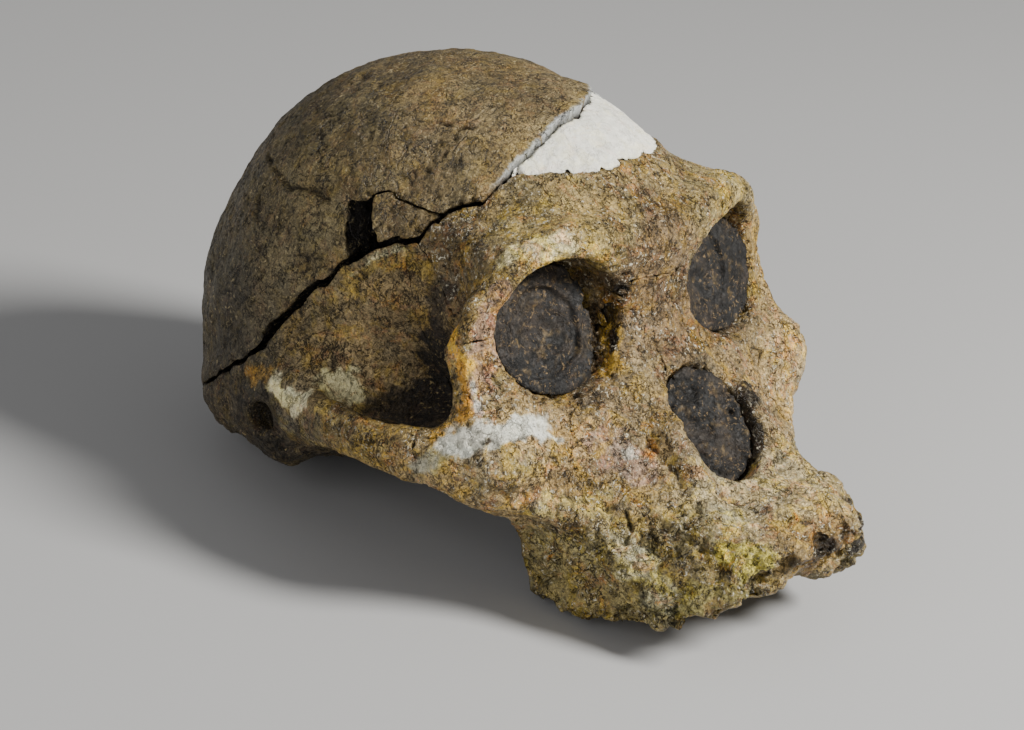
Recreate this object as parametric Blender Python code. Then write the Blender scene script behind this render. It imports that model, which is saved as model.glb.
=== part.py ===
"""Cranium of an adult gracile australopith, a fossil without its lower jaw and teeth, life size.

The skull is laid out in millimetres in the frame that anatomists use: x forward, y to its left,
z up, with the middle of the line between the ear openings as origin and the line from ear to lower
orbit level. Its bone is one implicit surface, a sum of named masses less named hollows. It is
meshed on a grid, thinned, parted into its bones by thin walls, and laid down as it would rest.
"""
import math
from collections import namedtuple

import bmesh
import bpy
import numpy as np
from mathutils import Matrix, Vector
from mathutils.bvhtree import BVHTree

MM = 0.001
GAP = 0.3            # between two bones that touch
HOLLOW_RINGS, HOLLOW_SIDES = 7, 16       # facets of the orbits and the nose
CELL = 2.5           # of the grid that the bone is meshed on
GRID_LOW, GRID_HIGH = (-70.5, -70, -62), (125, 70, 84)   # its corners, with room all round
TRIANGLES = 6600     # of the whole bone before it is parted
FACE_UP = 20.4       # degrees that the skull leans back as it lies
ORIGIN = (28.5, 0.0) # where the box's middle is along and across the skull, once it lies
FLOOR = 29.8         # how far down the floor is, once it lies: its contacts are worn flat there
REACH = 200          # of what is cut off all along the floor

Mass = namedtuple("Mass", "centre half turn blend")
UNTURNED = (0, 0, 0)

VAULT = [
    Mass((8, 0, 33), (59, 47, 45.5), UNTURNED, 0),        # dome
    Mass((-17, 0, 19), (45, 47, 36), UNTURNED, 12),       # back of the head
    Mass((44, 0, 30), (33, 34, 33), UNTURNED, 12),        # forehead
    Mass((-29, 0, 0), (33, 46.5, 19), (0, 10, 0), 8),     # shelf for the neck muscles
    Mass((0, 0, 2), (46, 34, 16), UNTURNED, 10),          # floor
    Mass((36, 0, -6), (24, 17, 14), UNTURNED, 8),         # body of the sphenoid
]
PAIRED_VAULT = [
    Mass((-8, 33, 4), (30, 21, 18), (8, 0, 0), 9),        # swelling above the ear
]
PAIRED_FACE = [
    Mass((62, 48, -10), (10.5, 12, 11), (-25, 0, 0), 5),  # cheek
    Mass((50, 26, 14), (17, 18, 20), UNTURNED, 5),        # wall behind the orbit
]
PAIRED_BASE = [
    Mass((-2, 11, -17), (8, 4.5, 4.5), (-25, 0, 0), 3),   # condyle
]
HOLLOWS = [
    Mass((72, 0, -60), (38, 19, 22), UNTURNED, 4),        # palate
    Mass((-14, 0, -18), (15, 13, 14), UNTURNED, 3),       # great hole
]
FOSSA = [
    Mass((45, 45, 2), (11, 10, 18), (12, 0, 0), 5),       # behind the orbit's side
    Mass((50, 52, 33), (12, 11, 14), (0, 0, 0), 6),       # above it, behind the brow
    Mass((91, 34, -25), (8, 4, 9), (-30, 0, 0), 6),       # beside the root of the canine
    Mass((60, 47, -37), (13, 9, 11), (-20, 0, 0), 6),     # under the cheek
]
OPENED = [               # front tooth sockets that have lost their outer walls
    Mass((119, -1.5, -43), (4.4, 3.4, 6.5), (0, -20, 0), 1.2),
    Mass((113.5, -11.5, -46), (3.6, 3.4, 6.5), (-20, -15, 0), 1.2),
    Mass((111, 19.5, -40), (4.5, 3.6, 7.5), (30, -15, 0), 1.2),
    Mass((117, 9, -44), (3.4, 3.0, 6.5), (10, -15, 0), 1.2),
]
PAIRED_HOLLOWS = [
    Mass((40, 6.5, -24), (20, 6, 11), UNTURNED, 3),       # back of the nose
    Mass((12, 42, -12), (8, 11, 9), UNTURNED, 4),         # socket of the jaw joint
]
ORBIT_RIGHT = Mass((72, -31, 16.4), (17, 17.2, 16.4), (-12, -4, 0), 0)
ORBIT_LEFT = Mass((72, 28.3, 18.2), (17, 18, 15.8), (12, -4, 0), 0)
NOSE = Mass((87, 0, -13), (17, 11.6, 15.5), (0, -16, 0), 0)
ORBIT_FRONT, NOSE_FRONT = -0.32, -0.18   # place of the rock's face, as a share of the hollow

MASTOID = [(-14, 45, -4, 9), (-12, 46, -9.5, 5.5)]           # x, y, z, radius
PTERYGOID = [(44, 14, -8, 8), (45, 15, -34, 5)]
ARCH = [(0, 50, -0.5, 5), (16, 57, -1, 3.8), (32, 61.3, -3.5, 3.6), (46, 60, -7, 4.2), (58, 55, -10, 5)]
ARCH_FLATNESS = 0.62                                      # thickness over height
BROW = [(77, 2, 30, 4.6), (77, 14, 34.6, 4.6), (74.5, 28, 36, 4.4), (68.5, 40, 32, 4), (61.5, 49, 25, 3.2)]
PILLAR = [(61.5, 49, 25, 3.2), (60, 51.5, 12, 2.6), (60.5, 52.5, 0, 3.2)]      # side of the orbit
CREST = [(62, 54, -16, 3), (68, 46, -22, 3.2), (75.5, 37, -28, 3.2), (81, 31, -38, 3)]
NOSE_PILLAR = [(84.5, 14, -10, 3), (92.5, 15.5, -25, 3.6), (100.5, 18.5, -40, 4)]  # beside the nose
LEFT_RISE = 0.05         # slope by which the face's left side stands higher, as the fossil is bent

# How far forward the face comes, by height and by distance from its middle line
FACE_LOW, FACE_STEP, FACE_COLUMN = -36, 8, 16
FACE_DEPTH = np.array([
    [101, 96, 80, 56, 34],   # tooth row
    [96, 91, 79, 61, 38],
    [93, 85, 76, 69, 50],    # below the nose
    [89, 79, 74, 73, 58],    # cheek
    [85, 76, 71, 69, 54],
    [80, 74, 70, 66, 46],    # floor of the orbit
    [77, 73, 70, 65, 42],
    [76, 74, 71, 65, 40],    # root of the nose
    [79, 79, 75, 64, 38],
    [81, 80, 76, 60, 32],    # brow
    [76, 74, 69, 50, 24],    # foot of the forehead
], float)
FACE_HALF = np.array([40, 48, 57, 62, 58, 55, 54.5, 55, 54, 50, 40], float)
FACE_BACK = np.array([54, 53, 52, 53, 55, 54, 53, 52, 50, 48, 46], float)
BROW_LINE = [(0, 42), (14, 43.5), (30, 42.5), (42, 38.5), (50, 31), (60, 18)]     # y, z
CHEEK_LINE = [(0, -45), (30, -42), (38, -33), (45, -27.5), (52, -21.5), (60, -14)]

# Muzzle: a U in plan, with the reach and the half width that it has at each height
MUZZLE_REACH = [(-60, 47), (-46, 48), (-40, 47.5), (-33, 40.5), (-27, 27.5), (-20, 18), (5, 8)]
MUZZLE_HALF = [(-60, 33.5), (-40, 33.5), (-27, 32), (-8, 30), (5, 28), (20, 26)]
MUZZLE_START, MUZZLE_BACK, MUZZLE_POWER = 70, 47, 2.4
TOOTH_LINE = [(45, -51), (75, -54.5), (95, -55.5), (105, -52), (113, -45), (124, -41)]  # x, z

# The break round the vault, seen from the side, and its width on the right and on the left
BREAK = [(-80, -4), (-56, -1), (-37.7, 5.4), (-22.2, 10.7), (-9.4, 16.2), (-5.5, 20.8), (3.1, 26.7),
         (12.1, 31.4), (19.1, 35.6), (28.5, 39.1), (37.8, 39.6), (41.4, 42.7), (45.7, 45.6),
         (53, 46.3), (56.4, 51), (58.9, 57), (59.5, 90)]
BREAK_RIGHT = [0.6, 0.8, 1.0, 1.2, 2.0, 3.0, 2.2, 1.6, 1.4, 1.6, 1.8, 1.4, 0.9, 0.4, 0.3, 0.3, 0.3]
BREAK_LEFT = 0.5
HOLE = [(19.5, 49.2), (25.9, 49.5), (27.2, 40.4), (28, 36), (19.1, 33)]
FRAGMENT = [(26.4, 50.4), (30.8, 50.3), (36.6, 47.6), (43, 45.6), (39.6, 40), (28.6, 39.4)]
FRAGMENT_DEPTH, HOLE_DEPTH = 34, 30      # y that they reach in to

# Seams between the bones: seen from the side (x, z), from above (x, y) or from in front (y, z)
PLASTER_FOOT = [(56.45, 51.1), (62, 51.4), (68, 50.2), (76, 48)]
FRONTAL_FOOT = [(38, 39.8), (43, 32), (46, 23), (52, 19.5), (60, 17.5), (69, 18.5), (76, 23.5), (90, 24)]
FACE_REAR = [(53, 19.6), (50.5, 8), (49.5, -8), (48.8, -24), (48.6, -70)]
OCCIPITAL_EDGE = [(-22, -90), (-24, -45), (-18, -31), (-6, -21), (16, -13)]
TEMPORAL_EDGE = [(36, 49), (35, 36), (27, 21), (15, 12.2)]
ARCH_ROOT = [(20.5, 49), (20, 80)]
CHEEK_SEAM = [(11, 30), (13, 14), (30, -1), (36, -12), (40, -24), (45, -40)]
NASAL = [(-3.5, 26), (3.5, 26), (4.5, 14), (7, -4), (-7, -4), (-4.5, 14)]
NASAL_BACK = 72
ACROSS, UPRIGHT = (-90, 90), (-60, 60)
INNER_WALL = [(80, -20.7), (50, -20.7), (50, -5), (80, -5)]      # x, y: the orbit is empty here
EAR = Mass((-10.5, 53, -1), (3.2, 10, 3.6), (0, 0, 0), 0)

Tooth = namedtuple("Tooth", "length breadth")
TEETH = [Tooth(8, 6), Tooth(6.5, 6), Tooth(9, 8.5), Tooth(9, 10), Tooth(9.5, 10.5),
         Tooth(12, 11), Tooth(13, 11.5), Tooth(12.5, 11)]   # one side, from the middle back
ROW_START, ROW_REACH, ROW_HALF, ROW_BACK = 70, 41.5, 26.5, 48      # U that the teeth stand on
SOCKET_DEPTH = 7
SOCKET_LENGTH, SOCKET_BREADTH = 0.36, 0.34          # half sizes, as shares of the tooth's
DISH = [(0.05, 0.86), (-0.06, 0.55), (-0.12, 0.25), (-0.1, 0)]     # rock's face: share in, share out

BONE, VAULT_BONE, PLASTER, ROCK = "#a58f63", "#8f8060", "#ded8c4", "#4b4137"


def smooth_min(a, b, width):
    """Lower of two fields, with the step between them rounded over a width."""
    share = np.clip(0.5 + 0.5*(b - a)/max(width, 1e-6), 0, 1)
    return b + (a - b)*share - width*share*(1 - share)


def smooth_max(a, b, width):
    return -smooth_min(-a, -b, width)


def axes(turn):
    """Rotation for yaw, pitch and roll in degrees; its columns are the turned axes."""
    yaw, pitch, roll = (math.radians(angle) for angle in turn)
    return np.array(Matrix.Rotation(yaw, 3, "Z") @ Matrix.Rotation(pitch, 3, "Y")
                    @ Matrix.Rotation(roll, 3, "X"))


def ellipsoid(points, mass):
    """Signed distance, near enough, to the surface of an ellipsoid."""
    local = (points - np.array(mass.centre)) @ axes(mass.turn)
    half = np.array(mass.half)
    far = np.linalg.norm(local/half, axis=-1)
    slope = np.linalg.norm(local/half**2, axis=-1)
    return far*(far - 1)/np.maximum(slope, 1e-6)


def rod(points, line):
    """Signed distance to balls of given radius carried along a line of points."""
    field = np.inf
    for (*start, first), (*end, last) in zip(line, line[1:]):
        start, along = np.array(start), np.subtract(end, start)
        share = np.clip((points - start) @ along/(along @ along), 0, 1)
        field = np.minimum(field, np.linalg.norm(points - start - share[..., None]*along, axis=-1)
                           - first - (last - first)*share)
    return field


def steps(line, at):
    """Height of a line of points above a place on its base."""
    return np.interp(at, *zip(*line))


def curve(values, at):
    """Smooth curve through evenly spaced values along the first axis."""
    left = np.clip(np.floor(at).astype(int), 0, len(values) - 2)
    share = np.clip(at - left, 0, 1)
    a, b, c, d = (values[np.clip(left + k, 0, len(values) - 1)] for k in (-1, 0, 1, 2))
    return b + 0.5*share*(c - a + share*(2*a - 5*b + 4*c - d + share*(3*(b - c) + d - a)))


def face_front(y, z):
    """Depth table read smoothly at a place on the face."""
    rows = np.clip((z - FACE_LOW)/FACE_STEP, 0, len(FACE_DEPTH) - 1)
    columns = np.clip(y/FACE_COLUMN, 0, FACE_DEPTH.shape[1] - 1)
    across = np.stack([curve(row, columns) for row in FACE_DEPTH])
    left = np.clip(np.floor(rows).astype(int), 0, len(FACE_DEPTH) - 2)
    share = rows - left
    take = [np.take_along_axis(across, np.clip(left + k, 0, len(FACE_DEPTH) - 1)[None], 0)[0]
            for k in (-1, 0, 1, 2)]
    a, b, c, d = take
    return b + 0.5*share*(c - a + share*(2*a - 5*b + 4*c - d + share*(3*(b - c) + d - a)))


def face(points):
    """Mask of the face: in front of its back, inside its sides, below the brow line."""
    x, y, z = np.moveaxis(points, -1, 0)
    level = np.clip((z - FACE_LOW)/FACE_STEP, 0, len(FACE_DEPTH) - 1)
    field = smooth_max((x - face_front(y, z))*0.85, (y - curve(FACE_HALF, level))*0.95, 5)
    field = smooth_max(field, curve(FACE_BACK, level) - x, 4)
    field = smooth_max(field, (z - steps(BROW_LINE, y))*0.9, 9)
    return smooth_max(field, (steps(CHEEK_LINE, y) - z)*0.9, 5)


def muzzle(points):
    """Snout: superellipse in plan, cut off behind, below along the tooth row, and above."""
    x, y, z = np.moveaxis(points, -1, 0)
    half = steps(MUZZLE_HALF, z)
    ahead = np.maximum(x - MUZZLE_START, 0)/steps(MUZZLE_REACH, z)
    plan = (ahead**MUZZLE_POWER + np.abs(y/half)**MUZZLE_POWER)**(1/MUZZLE_POWER)
    field = smooth_max((plan - 1)*half*0.8, MUZZLE_BACK - x, 8)
    field = smooth_max(field, steps(TOOTH_LINE, x) - z, 4)
    return smooth_max(field, z - 4, 8)


def skull(points):
    """Bone of the whole skull, without the orbits and the nose, which are cut later."""
    paired = points*np.array([1, 0, 1]) + np.abs(points)*np.array([0, 1, 0])
    flat = np.array([1, 1, ARCH_FLATNESS])
    field = ellipsoid(points, VAULT[0])
    for mass in VAULT[1:]:
        field = smooth_min(field, ellipsoid(points, mass), mass.blend)
    for mass in PAIRED_VAULT + PAIRED_BASE:
        field = smooth_min(field, ellipsoid(paired, mass), mass.blend)
    field = smooth_min(field, rod(paired, MASTOID), 6)
    bent = paired - np.array([0, 0, LEFT_RISE])*np.maximum(points[..., 1:2], 0)
    front = smooth_min(muzzle(points), face(bent), 7)
    for mass in PAIRED_FACE:
        front = smooth_min(front, ellipsoid(bent, mass), mass.blend)
    for line, blend in ((BROW, 4), (PILLAR, 4), (CREST, 5), (NOSE_PILLAR, 6)):
        front = smooth_min(front, rod(bent, line), blend)
    for mass in FOSSA:
        front = smooth_max(front, -ellipsoid(bent, mass), mass.blend)
    field = smooth_min(field, front, 7)
    arch = [(x, y, z*ARCH_FLATNESS, radius) for x, y, z, radius in ARCH]
    field = smooth_min(field, rod(paired*flat, arch), 4)
    field = smooth_min(field, rod(paired, PTERYGOID), 4)
    for mass in HOLLOWS:
        field = smooth_max(field, -ellipsoid(points, mass), mass.blend)
    for mass in PAIRED_HOLLOWS:
        field = smooth_max(field, -ellipsoid(paired, mass), mass.blend)
    return field


def grid_surface(field, low, high, cell):
    """Closed surface where a field is zero: one vertex in each cell that it crosses."""
    ticks = [np.arange(a, b + cell, cell) for a, b in zip(low, high)]
    values = field(np.stack(np.meshgrid(*ticks, indexing="ij"), -1))
    inside = values < 0
    shape = [n - 1 for n in values.shape]
    total, count = np.zeros(shape + [3]), np.zeros(shape)
    part = (slice(None, -1), slice(1, None))
    for corner in np.ndindex(2, 2, 2):
        for axis in range(3):
            if corner[axis]:
                continue
            end = tuple(1 if k == axis else corner[k] for k in range(3))
            here, there = (values[tuple(part[c] for c in at)] for at in (corner, end))
            crosses = (here < 0) != (there < 0)
            share = np.where(crosses, here/np.where(crosses, here - there, 1), 0)
            place = np.array(corner) + share[..., None]*np.eye(3)[axis]
            total += np.where(crosses[..., None], place, 0)
            count += crosses
    used = count > 0
    number = np.full(shape, -1)
    number[used] = np.arange(used.sum())
    vertices = (np.argwhere(used) + total[used]/count[used][:, None])*cell + np.array(low)
    faces = []
    for axis in range(3):
        others = [k for k in range(3) if k != axis]
        first, second = ([slice(1, -1)]*3 for _ in range(2))
        first[axis], second[axis] = part
        here, there = inside[tuple(first)], inside[tuple(second)]
        for leaving in (True, False):
            at = np.argwhere(here & ~there if leaving else there & ~here)
            at[:, others] += 1
            ring = []
            for back in ((0, 0), (1, 0), (1, 1), (0, 1)):
                cell_at = at.copy()
                cell_at[:, others] -= back
                ring.append(number[tuple(cell_at.T)])
            ring = np.stack(ring, 1)
            faces.append(ring if leaving == (axis != 1) else ring[:, ::-1])
    return vertices, np.concatenate(faces)


def new_object(name, vertices, faces):
    mesh = bpy.data.meshes.new(name)
    mesh.from_pydata([tuple(v) for v in np.asarray(vertices, float)], [],
                     [tuple(int(i) for i in face_) for face_ in faces])
    mesh.validate()
    thing = bpy.data.objects.new(name, mesh)
    bpy.context.collection.objects.link(thing)
    return thing


def outward(thing):
    """Turns the faces of a closed mesh outwards."""
    shape = bmesh.new()
    shape.from_mesh(thing.data)
    bmesh.ops.recalc_face_normals(shape, faces=shape.faces)
    shape.to_mesh(thing.data)
    shape.free()
    return thing


def apply_modifiers(thing):
    view = bpy.context.evaluated_depsgraph_get()
    mesh = bpy.data.meshes.new_from_object(thing.evaluated_get(view))
    thing.modifiers.clear()
    thing.data = mesh


def boolean(thing, tool, operation="DIFFERENCE"):
    step = thing.modifiers.new("cut", "BOOLEAN")
    step.object, step.operation, step.solver = tool, operation, "EXACT"
    apply_modifiers(thing)


def without(thing, tools):
    """Cuts tools out of a thing, then deletes them."""
    for tool in tools:
        boolean(thing, tool)
        bpy.data.objects.remove(tool)


def wall(line, widths, span, plane):
    """Thin wall: a line in a plane, with a width at each end of its span, carried across."""
    line = np.array(line, float)
    tangent = np.gradient(line, axis=0)
    normal = np.stack([-tangent[:, 1], tangent[:, 0]], 1)
    normal /= np.linalg.norm(normal, axis=1, keepdims=True)
    rings = []
    for end, width in zip(span, widths):
        for side in (0.5, -0.5):
            flat = line + side*np.broadcast_to(width, len(line))[:, None]*normal
            rings.append(np.insert(flat, {"yz": 0, "xz": 1, "xy": 2}[plane], end, axis=1))
    count = len(line)
    near_up, near_down, far_up, far_down = (np.arange(count) + k*count for k in range(4))
    faces = []
    for a, b in ((near_up, near_down), (near_down, far_down), (far_down, far_up), (far_up, near_up)):
        faces += [(a[i], a[i + 1], b[i + 1], b[i]) for i in range(count - 1)]
    faces += [(near_up[i], near_down[i], far_down[i], far_up[i]) for i in (0, count - 1)]
    return outward(new_object("wall", np.concatenate(rings), faces))


def prism(outline, span, plane, grow=0.0):
    """Outline in a plane, grown about its middle, carried across a span."""
    outline = np.array(outline, float)
    middle = outline.mean(0)
    away = outline - middle
    outline = middle + away*(1 + grow/np.linalg.norm(away, axis=1, keepdims=True))
    count = len(outline)
    ends = [np.insert(outline, {"yz": 0, "xz": 1, "xy": 2}[plane], end, axis=1) for end in span]
    faces = [tuple(range(count)), tuple(range(2*count - 1, count - 1, -1))]
    faces += [(i, (i + 1) % count, count + (i + 1) % count, count + i) for i in range(count)]
    return outward(new_object("prism", np.concatenate(ends), faces))


def lathe(mass, profile, sides):
    """Closed turned form: profile points run along the mass's first axis, as shares of its half
    sizes, from one pole to the other."""
    turned = []
    for along, out in profile[1:-1]:
        for k in range(sides):
            angle = 2*math.pi*k/sides
            turned.append((along, out*math.cos(angle), out*math.sin(angle)))
    turned = [(profile[0][0], 0, 0)] + turned + [(profile[-1][0], 0, 0)]
    vertices = np.array(turned)*np.array(mass.half) @ axes(mass.turn).T + np.array(mass.centre)
    rings = len(profile) - 2
    last = len(turned) - 1
    faces = []
    for k in range(sides):
        after = (k + 1) % sides
        faces.append((0, 1 + after, 1 + k))
        faces.append((last, last - sides + k, last - sides + after))
        for ring in range(rings - 1):
            a, b = 1 + ring*sides, 1 + (ring + 1)*sides
            faces.append((a + k, a + after, b + after, b + k))
    return outward(new_object("lathe", vertices, faces))


def arc(rings):
    """Profile of a whole ellipsoid, from its back pole to its front pole."""
    angles = [math.pi*k/(rings + 1) for k in range(rings + 2)]
    return [(-math.cos(angle), math.sin(angle)) for angle in angles]


def whole(mass, rings=HOLLOW_RINGS, sides=HOLLOW_SIDES):
    """Whole ellipsoid as a turned form."""
    return lathe(mass, arc(rings), sides)


def fill(name, mass, front):
    """Rock left in a hollow: it follows the wall up to a front plane, then dips in a dish."""
    room = mass._replace(half=tuple(size - GAP for size in mass.half))
    wall_line = arc(HOLLOW_RINGS)
    rim = float(np.interp(front, *zip(*wall_line)))
    back = [point for point in wall_line if point[0] < front - 0.05] + [(front, rim)]
    dish = [(front + ahead, rim*out) for ahead, out in DISH]
    thing = lathe(room, back + dish, HOLLOW_SIDES)
    thing.name = name
    return thing


def bone_mesh():
    """Whole bone as one thinned mesh."""
    vertices, faces = grid_surface(skull, GRID_LOW, GRID_HIGH, CELL)
    thing = new_object("skull", vertices, faces)
    thin = thing.modifiers.new("thin", "DECIMATE")
    thin.ratio = TRIANGLES/(2*len(faces))
    apply_modifiers(thing)
    return thing


def tooth_row():
    """Places along the U of the tooth row and the direction that it runs in, for one side."""
    turn = np.linspace(0, math.pi/2, 60)
    x = ROW_START + ROW_REACH*np.cos(turn)**(2/MUZZLE_POWER)
    y = ROW_HALF*np.sin(turn)**(2/MUZZLE_POWER)
    line = np.concatenate([np.stack([x, y], 1), [(ROW_BACK, ROW_HALF)]])
    run = np.concatenate([[0], np.cumsum(np.linalg.norm(np.diff(line, axis=0), axis=1))])
    lengths = np.array([tooth.length for tooth in TEETH])
    mids = (np.cumsum(lengths) - lengths/2)*(run[-1] - 1)/lengths.sum()
    place = np.stack([np.interp(mids, run, line[:, k]) for k in (0, 1)], 1)
    ahead = np.stack([np.interp(mids + 1, run, line[:, k]) for k in (0, 1)], 1)
    return place, np.arctan2(*(ahead - place).T[::-1])


def sockets():
    """Tapered pits where the teeth were."""
    pits = []
    places, angles = tooth_row()
    for side in (1, -1):
        for tooth, (x, y), angle in zip(TEETH, places, angles):
            edge = steps(TOOTH_LINE, x)
            half = (SOCKET_DEPTH + 6, tooth.length*SOCKET_LENGTH, tooth.breadth*SOCKET_BREADTH)
            pit = Mass((x, side*y, edge - 6), half, (0, 90, 0), 0)
            pit = whole(pit, rings=4, sides=8)
            turn = Matrix.Translation((x, side*y, 0)) @ Matrix.Rotation(side*(angle - math.pi/2), 4, "Z")
            pit.data.transform(turn @ Matrix.Translation((-x, -side*y, 0)))
            pits.append(pit)
    return pits


def seam(line, side=1, first_is_y=False):
    """Seam drawn for the left side, mirrored where side is -1."""
    return [(a*side, b) if first_is_y else (a, b*side) for a, b in line]


def islands(thing):
    """Separate closed surfaces of a mesh, each as its own object."""
    shape = bmesh.new()
    shape.from_mesh(thing.data)
    shape.verts.ensure_lookup_table()
    group = [-1]*len(shape.verts)
    count = 0
    for seed in shape.verts:
        if group[seed.index] >= 0:
            continue
        queue = [seed]
        group[seed.index] = count
        while queue:
            for edge in queue.pop().link_edges:
                for vertex in edge.verts:
                    if group[vertex.index] < 0:
                        group[vertex.index] = count
                        queue.append(vertex)
        count += 1
    found = []
    for number in range(count):
        piece = shape.copy()
        piece.verts.ensure_lookup_table()
        loose = [v for v in piece.verts if group[v.index] != number]
        bmesh.ops.delete(piece, geom=loose, context="VERTS")
        mesh = bpy.data.meshes.new("piece")
        piece.to_mesh(mesh)
        piece.free()
        found.append(bpy.data.objects.new("piece", mesh))
        bpy.context.collection.objects.link(found[-1])
    shape.free()
    bpy.data.objects.remove(thing)
    return found


def volume(thing):
    shape = bmesh.new()
    shape.from_mesh(thing.data)
    size = shape.calc_volume(signed=True)
    shape.free()
    return size


def largest(thing, name):
    """Keeps the largest closed surface of a thing."""
    found = sorted(islands(thing), key=volume)
    for scrap in found[:-1]:
        bpy.data.objects.remove(scrap)
    found[-1].name = name
    return found[-1]


SEEDS = {
    "lower": (0, 0, 0), "brow_and_plaster": (66, 0, 36), "face_and_base": (40, 0, 5),
    "base": (40, 0, 5), "face": (80, 25, -35),
    "vault_cap": (0, 0, 60), "frontal_plaster": (62, 0, 54), "frontal": (66, 0, 36),
    "occipital": (-40, 0, 0), "sphenoid": (40, 0, 5), "maxilla": (80, 25, -35),
    "temporal_right": (0, -40, 8), "temporal_left": (0, 40, 8),
    "zygomatic_right": (62, -50, -4), "zygomatic_left": (62, 50, -4),
    "arch_right": (32, -61.5, -3), "arch_left": (32, 61.5, -3),
}


def part_bones(bones, whole_name, walls, names):
    """Cuts walls out of a bone, then names each piece by the seed that it holds."""
    body = bones.pop(whole_name)
    without(body, walls)
    pieces = islands(body)
    for name in names:
        held = [piece for piece in pieces if holds(piece, SEEDS[name])]
        if len(held) != 1:
            raise ValueError(f"{name}: {len(held)} pieces hold its seed")
        bones[name] = held[0]
        held[0].name = name
        pieces.remove(held[0])
    for scrap in pieces:
        bpy.data.objects.remove(scrap)


def holds(thing, point):
    """Whether a point is inside a closed mesh: a ray up from it leaves an odd number of times."""
    shape = bmesh.new()
    shape.from_mesh(thing.data)
    bmesh.ops.triangulate(shape, faces=shape.faces)
    tree = BVHTree.FromBMesh(shape)
    shape.free()
    start, hits = Vector(point), 0
    up = Vector((0.013, 0.007, 1)).normalized()
    while True:
        place = tree.ray_cast(start, up)[0]
        if place is None:
            return hits % 2 == 1
        start, hits = place + up*1e-3, hits + 1


def linear(code):
    """sRGB hex to linear colour."""
    parts = [int(code[k:k + 2], 16)/255 for k in (1, 3, 5)]
    return [c/12.92 if c <= 0.04045 else ((c + 0.055)/1.055)**2.4 for c in parts] + [1]


def finish(thing, colour, roughness):
    look = bpy.data.materials.new(thing.name)
    look.use_nodes = True
    shader = look.node_tree.nodes["Principled BSDF"]
    shader.inputs["Base Color"].default_value = linear(colour)
    shader.inputs["Roughness"].default_value = roughness
    thing.data.materials.clear()
    thing.data.materials.append(look)


def copy_of(thing, name):
    twin = thing.copy()
    twin.data = thing.data.copy()
    twin.name = name
    bpy.context.collection.objects.link(twin)
    return twin


def part_off(thing, name, outline, span, plane):
    """Parts a thing with a prism: gives what is inside it, and leaves the rest with a gap."""
    inner = copy_of(thing, name)
    keep = prism(outline, span, plane)
    boolean(inner, keep, "INTERSECT")
    bpy.data.objects.remove(keep)
    without(thing, [prism(outline, span, plane, GAP)])
    return largest(inner, name)


def lay_down(things):
    """Leans the skull back on its tooth row and occiput, wears its contacts flat, and puts the
    floor at zero."""
    lean = Matrix.Rotation(-math.radians(FACE_UP), 4, "Y")
    for thing in things:
        thing.data.transform(lean)
    shift = Matrix.Translation((-ORIGIN[0], -ORIGIN[1], FLOOR))
    under = [(-REACH, -REACH), (REACH, -REACH), (REACH, REACH), (-REACH, REACH)]
    for thing in things:
        thing.data.transform(shift)
        if min(v.co.z for v in thing.data.vertices) < 0:
            without(thing, [prism(under, (-REACH, 0), "xy")])
        thing.data.transform(Matrix.Scale(MM, 4))


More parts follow.
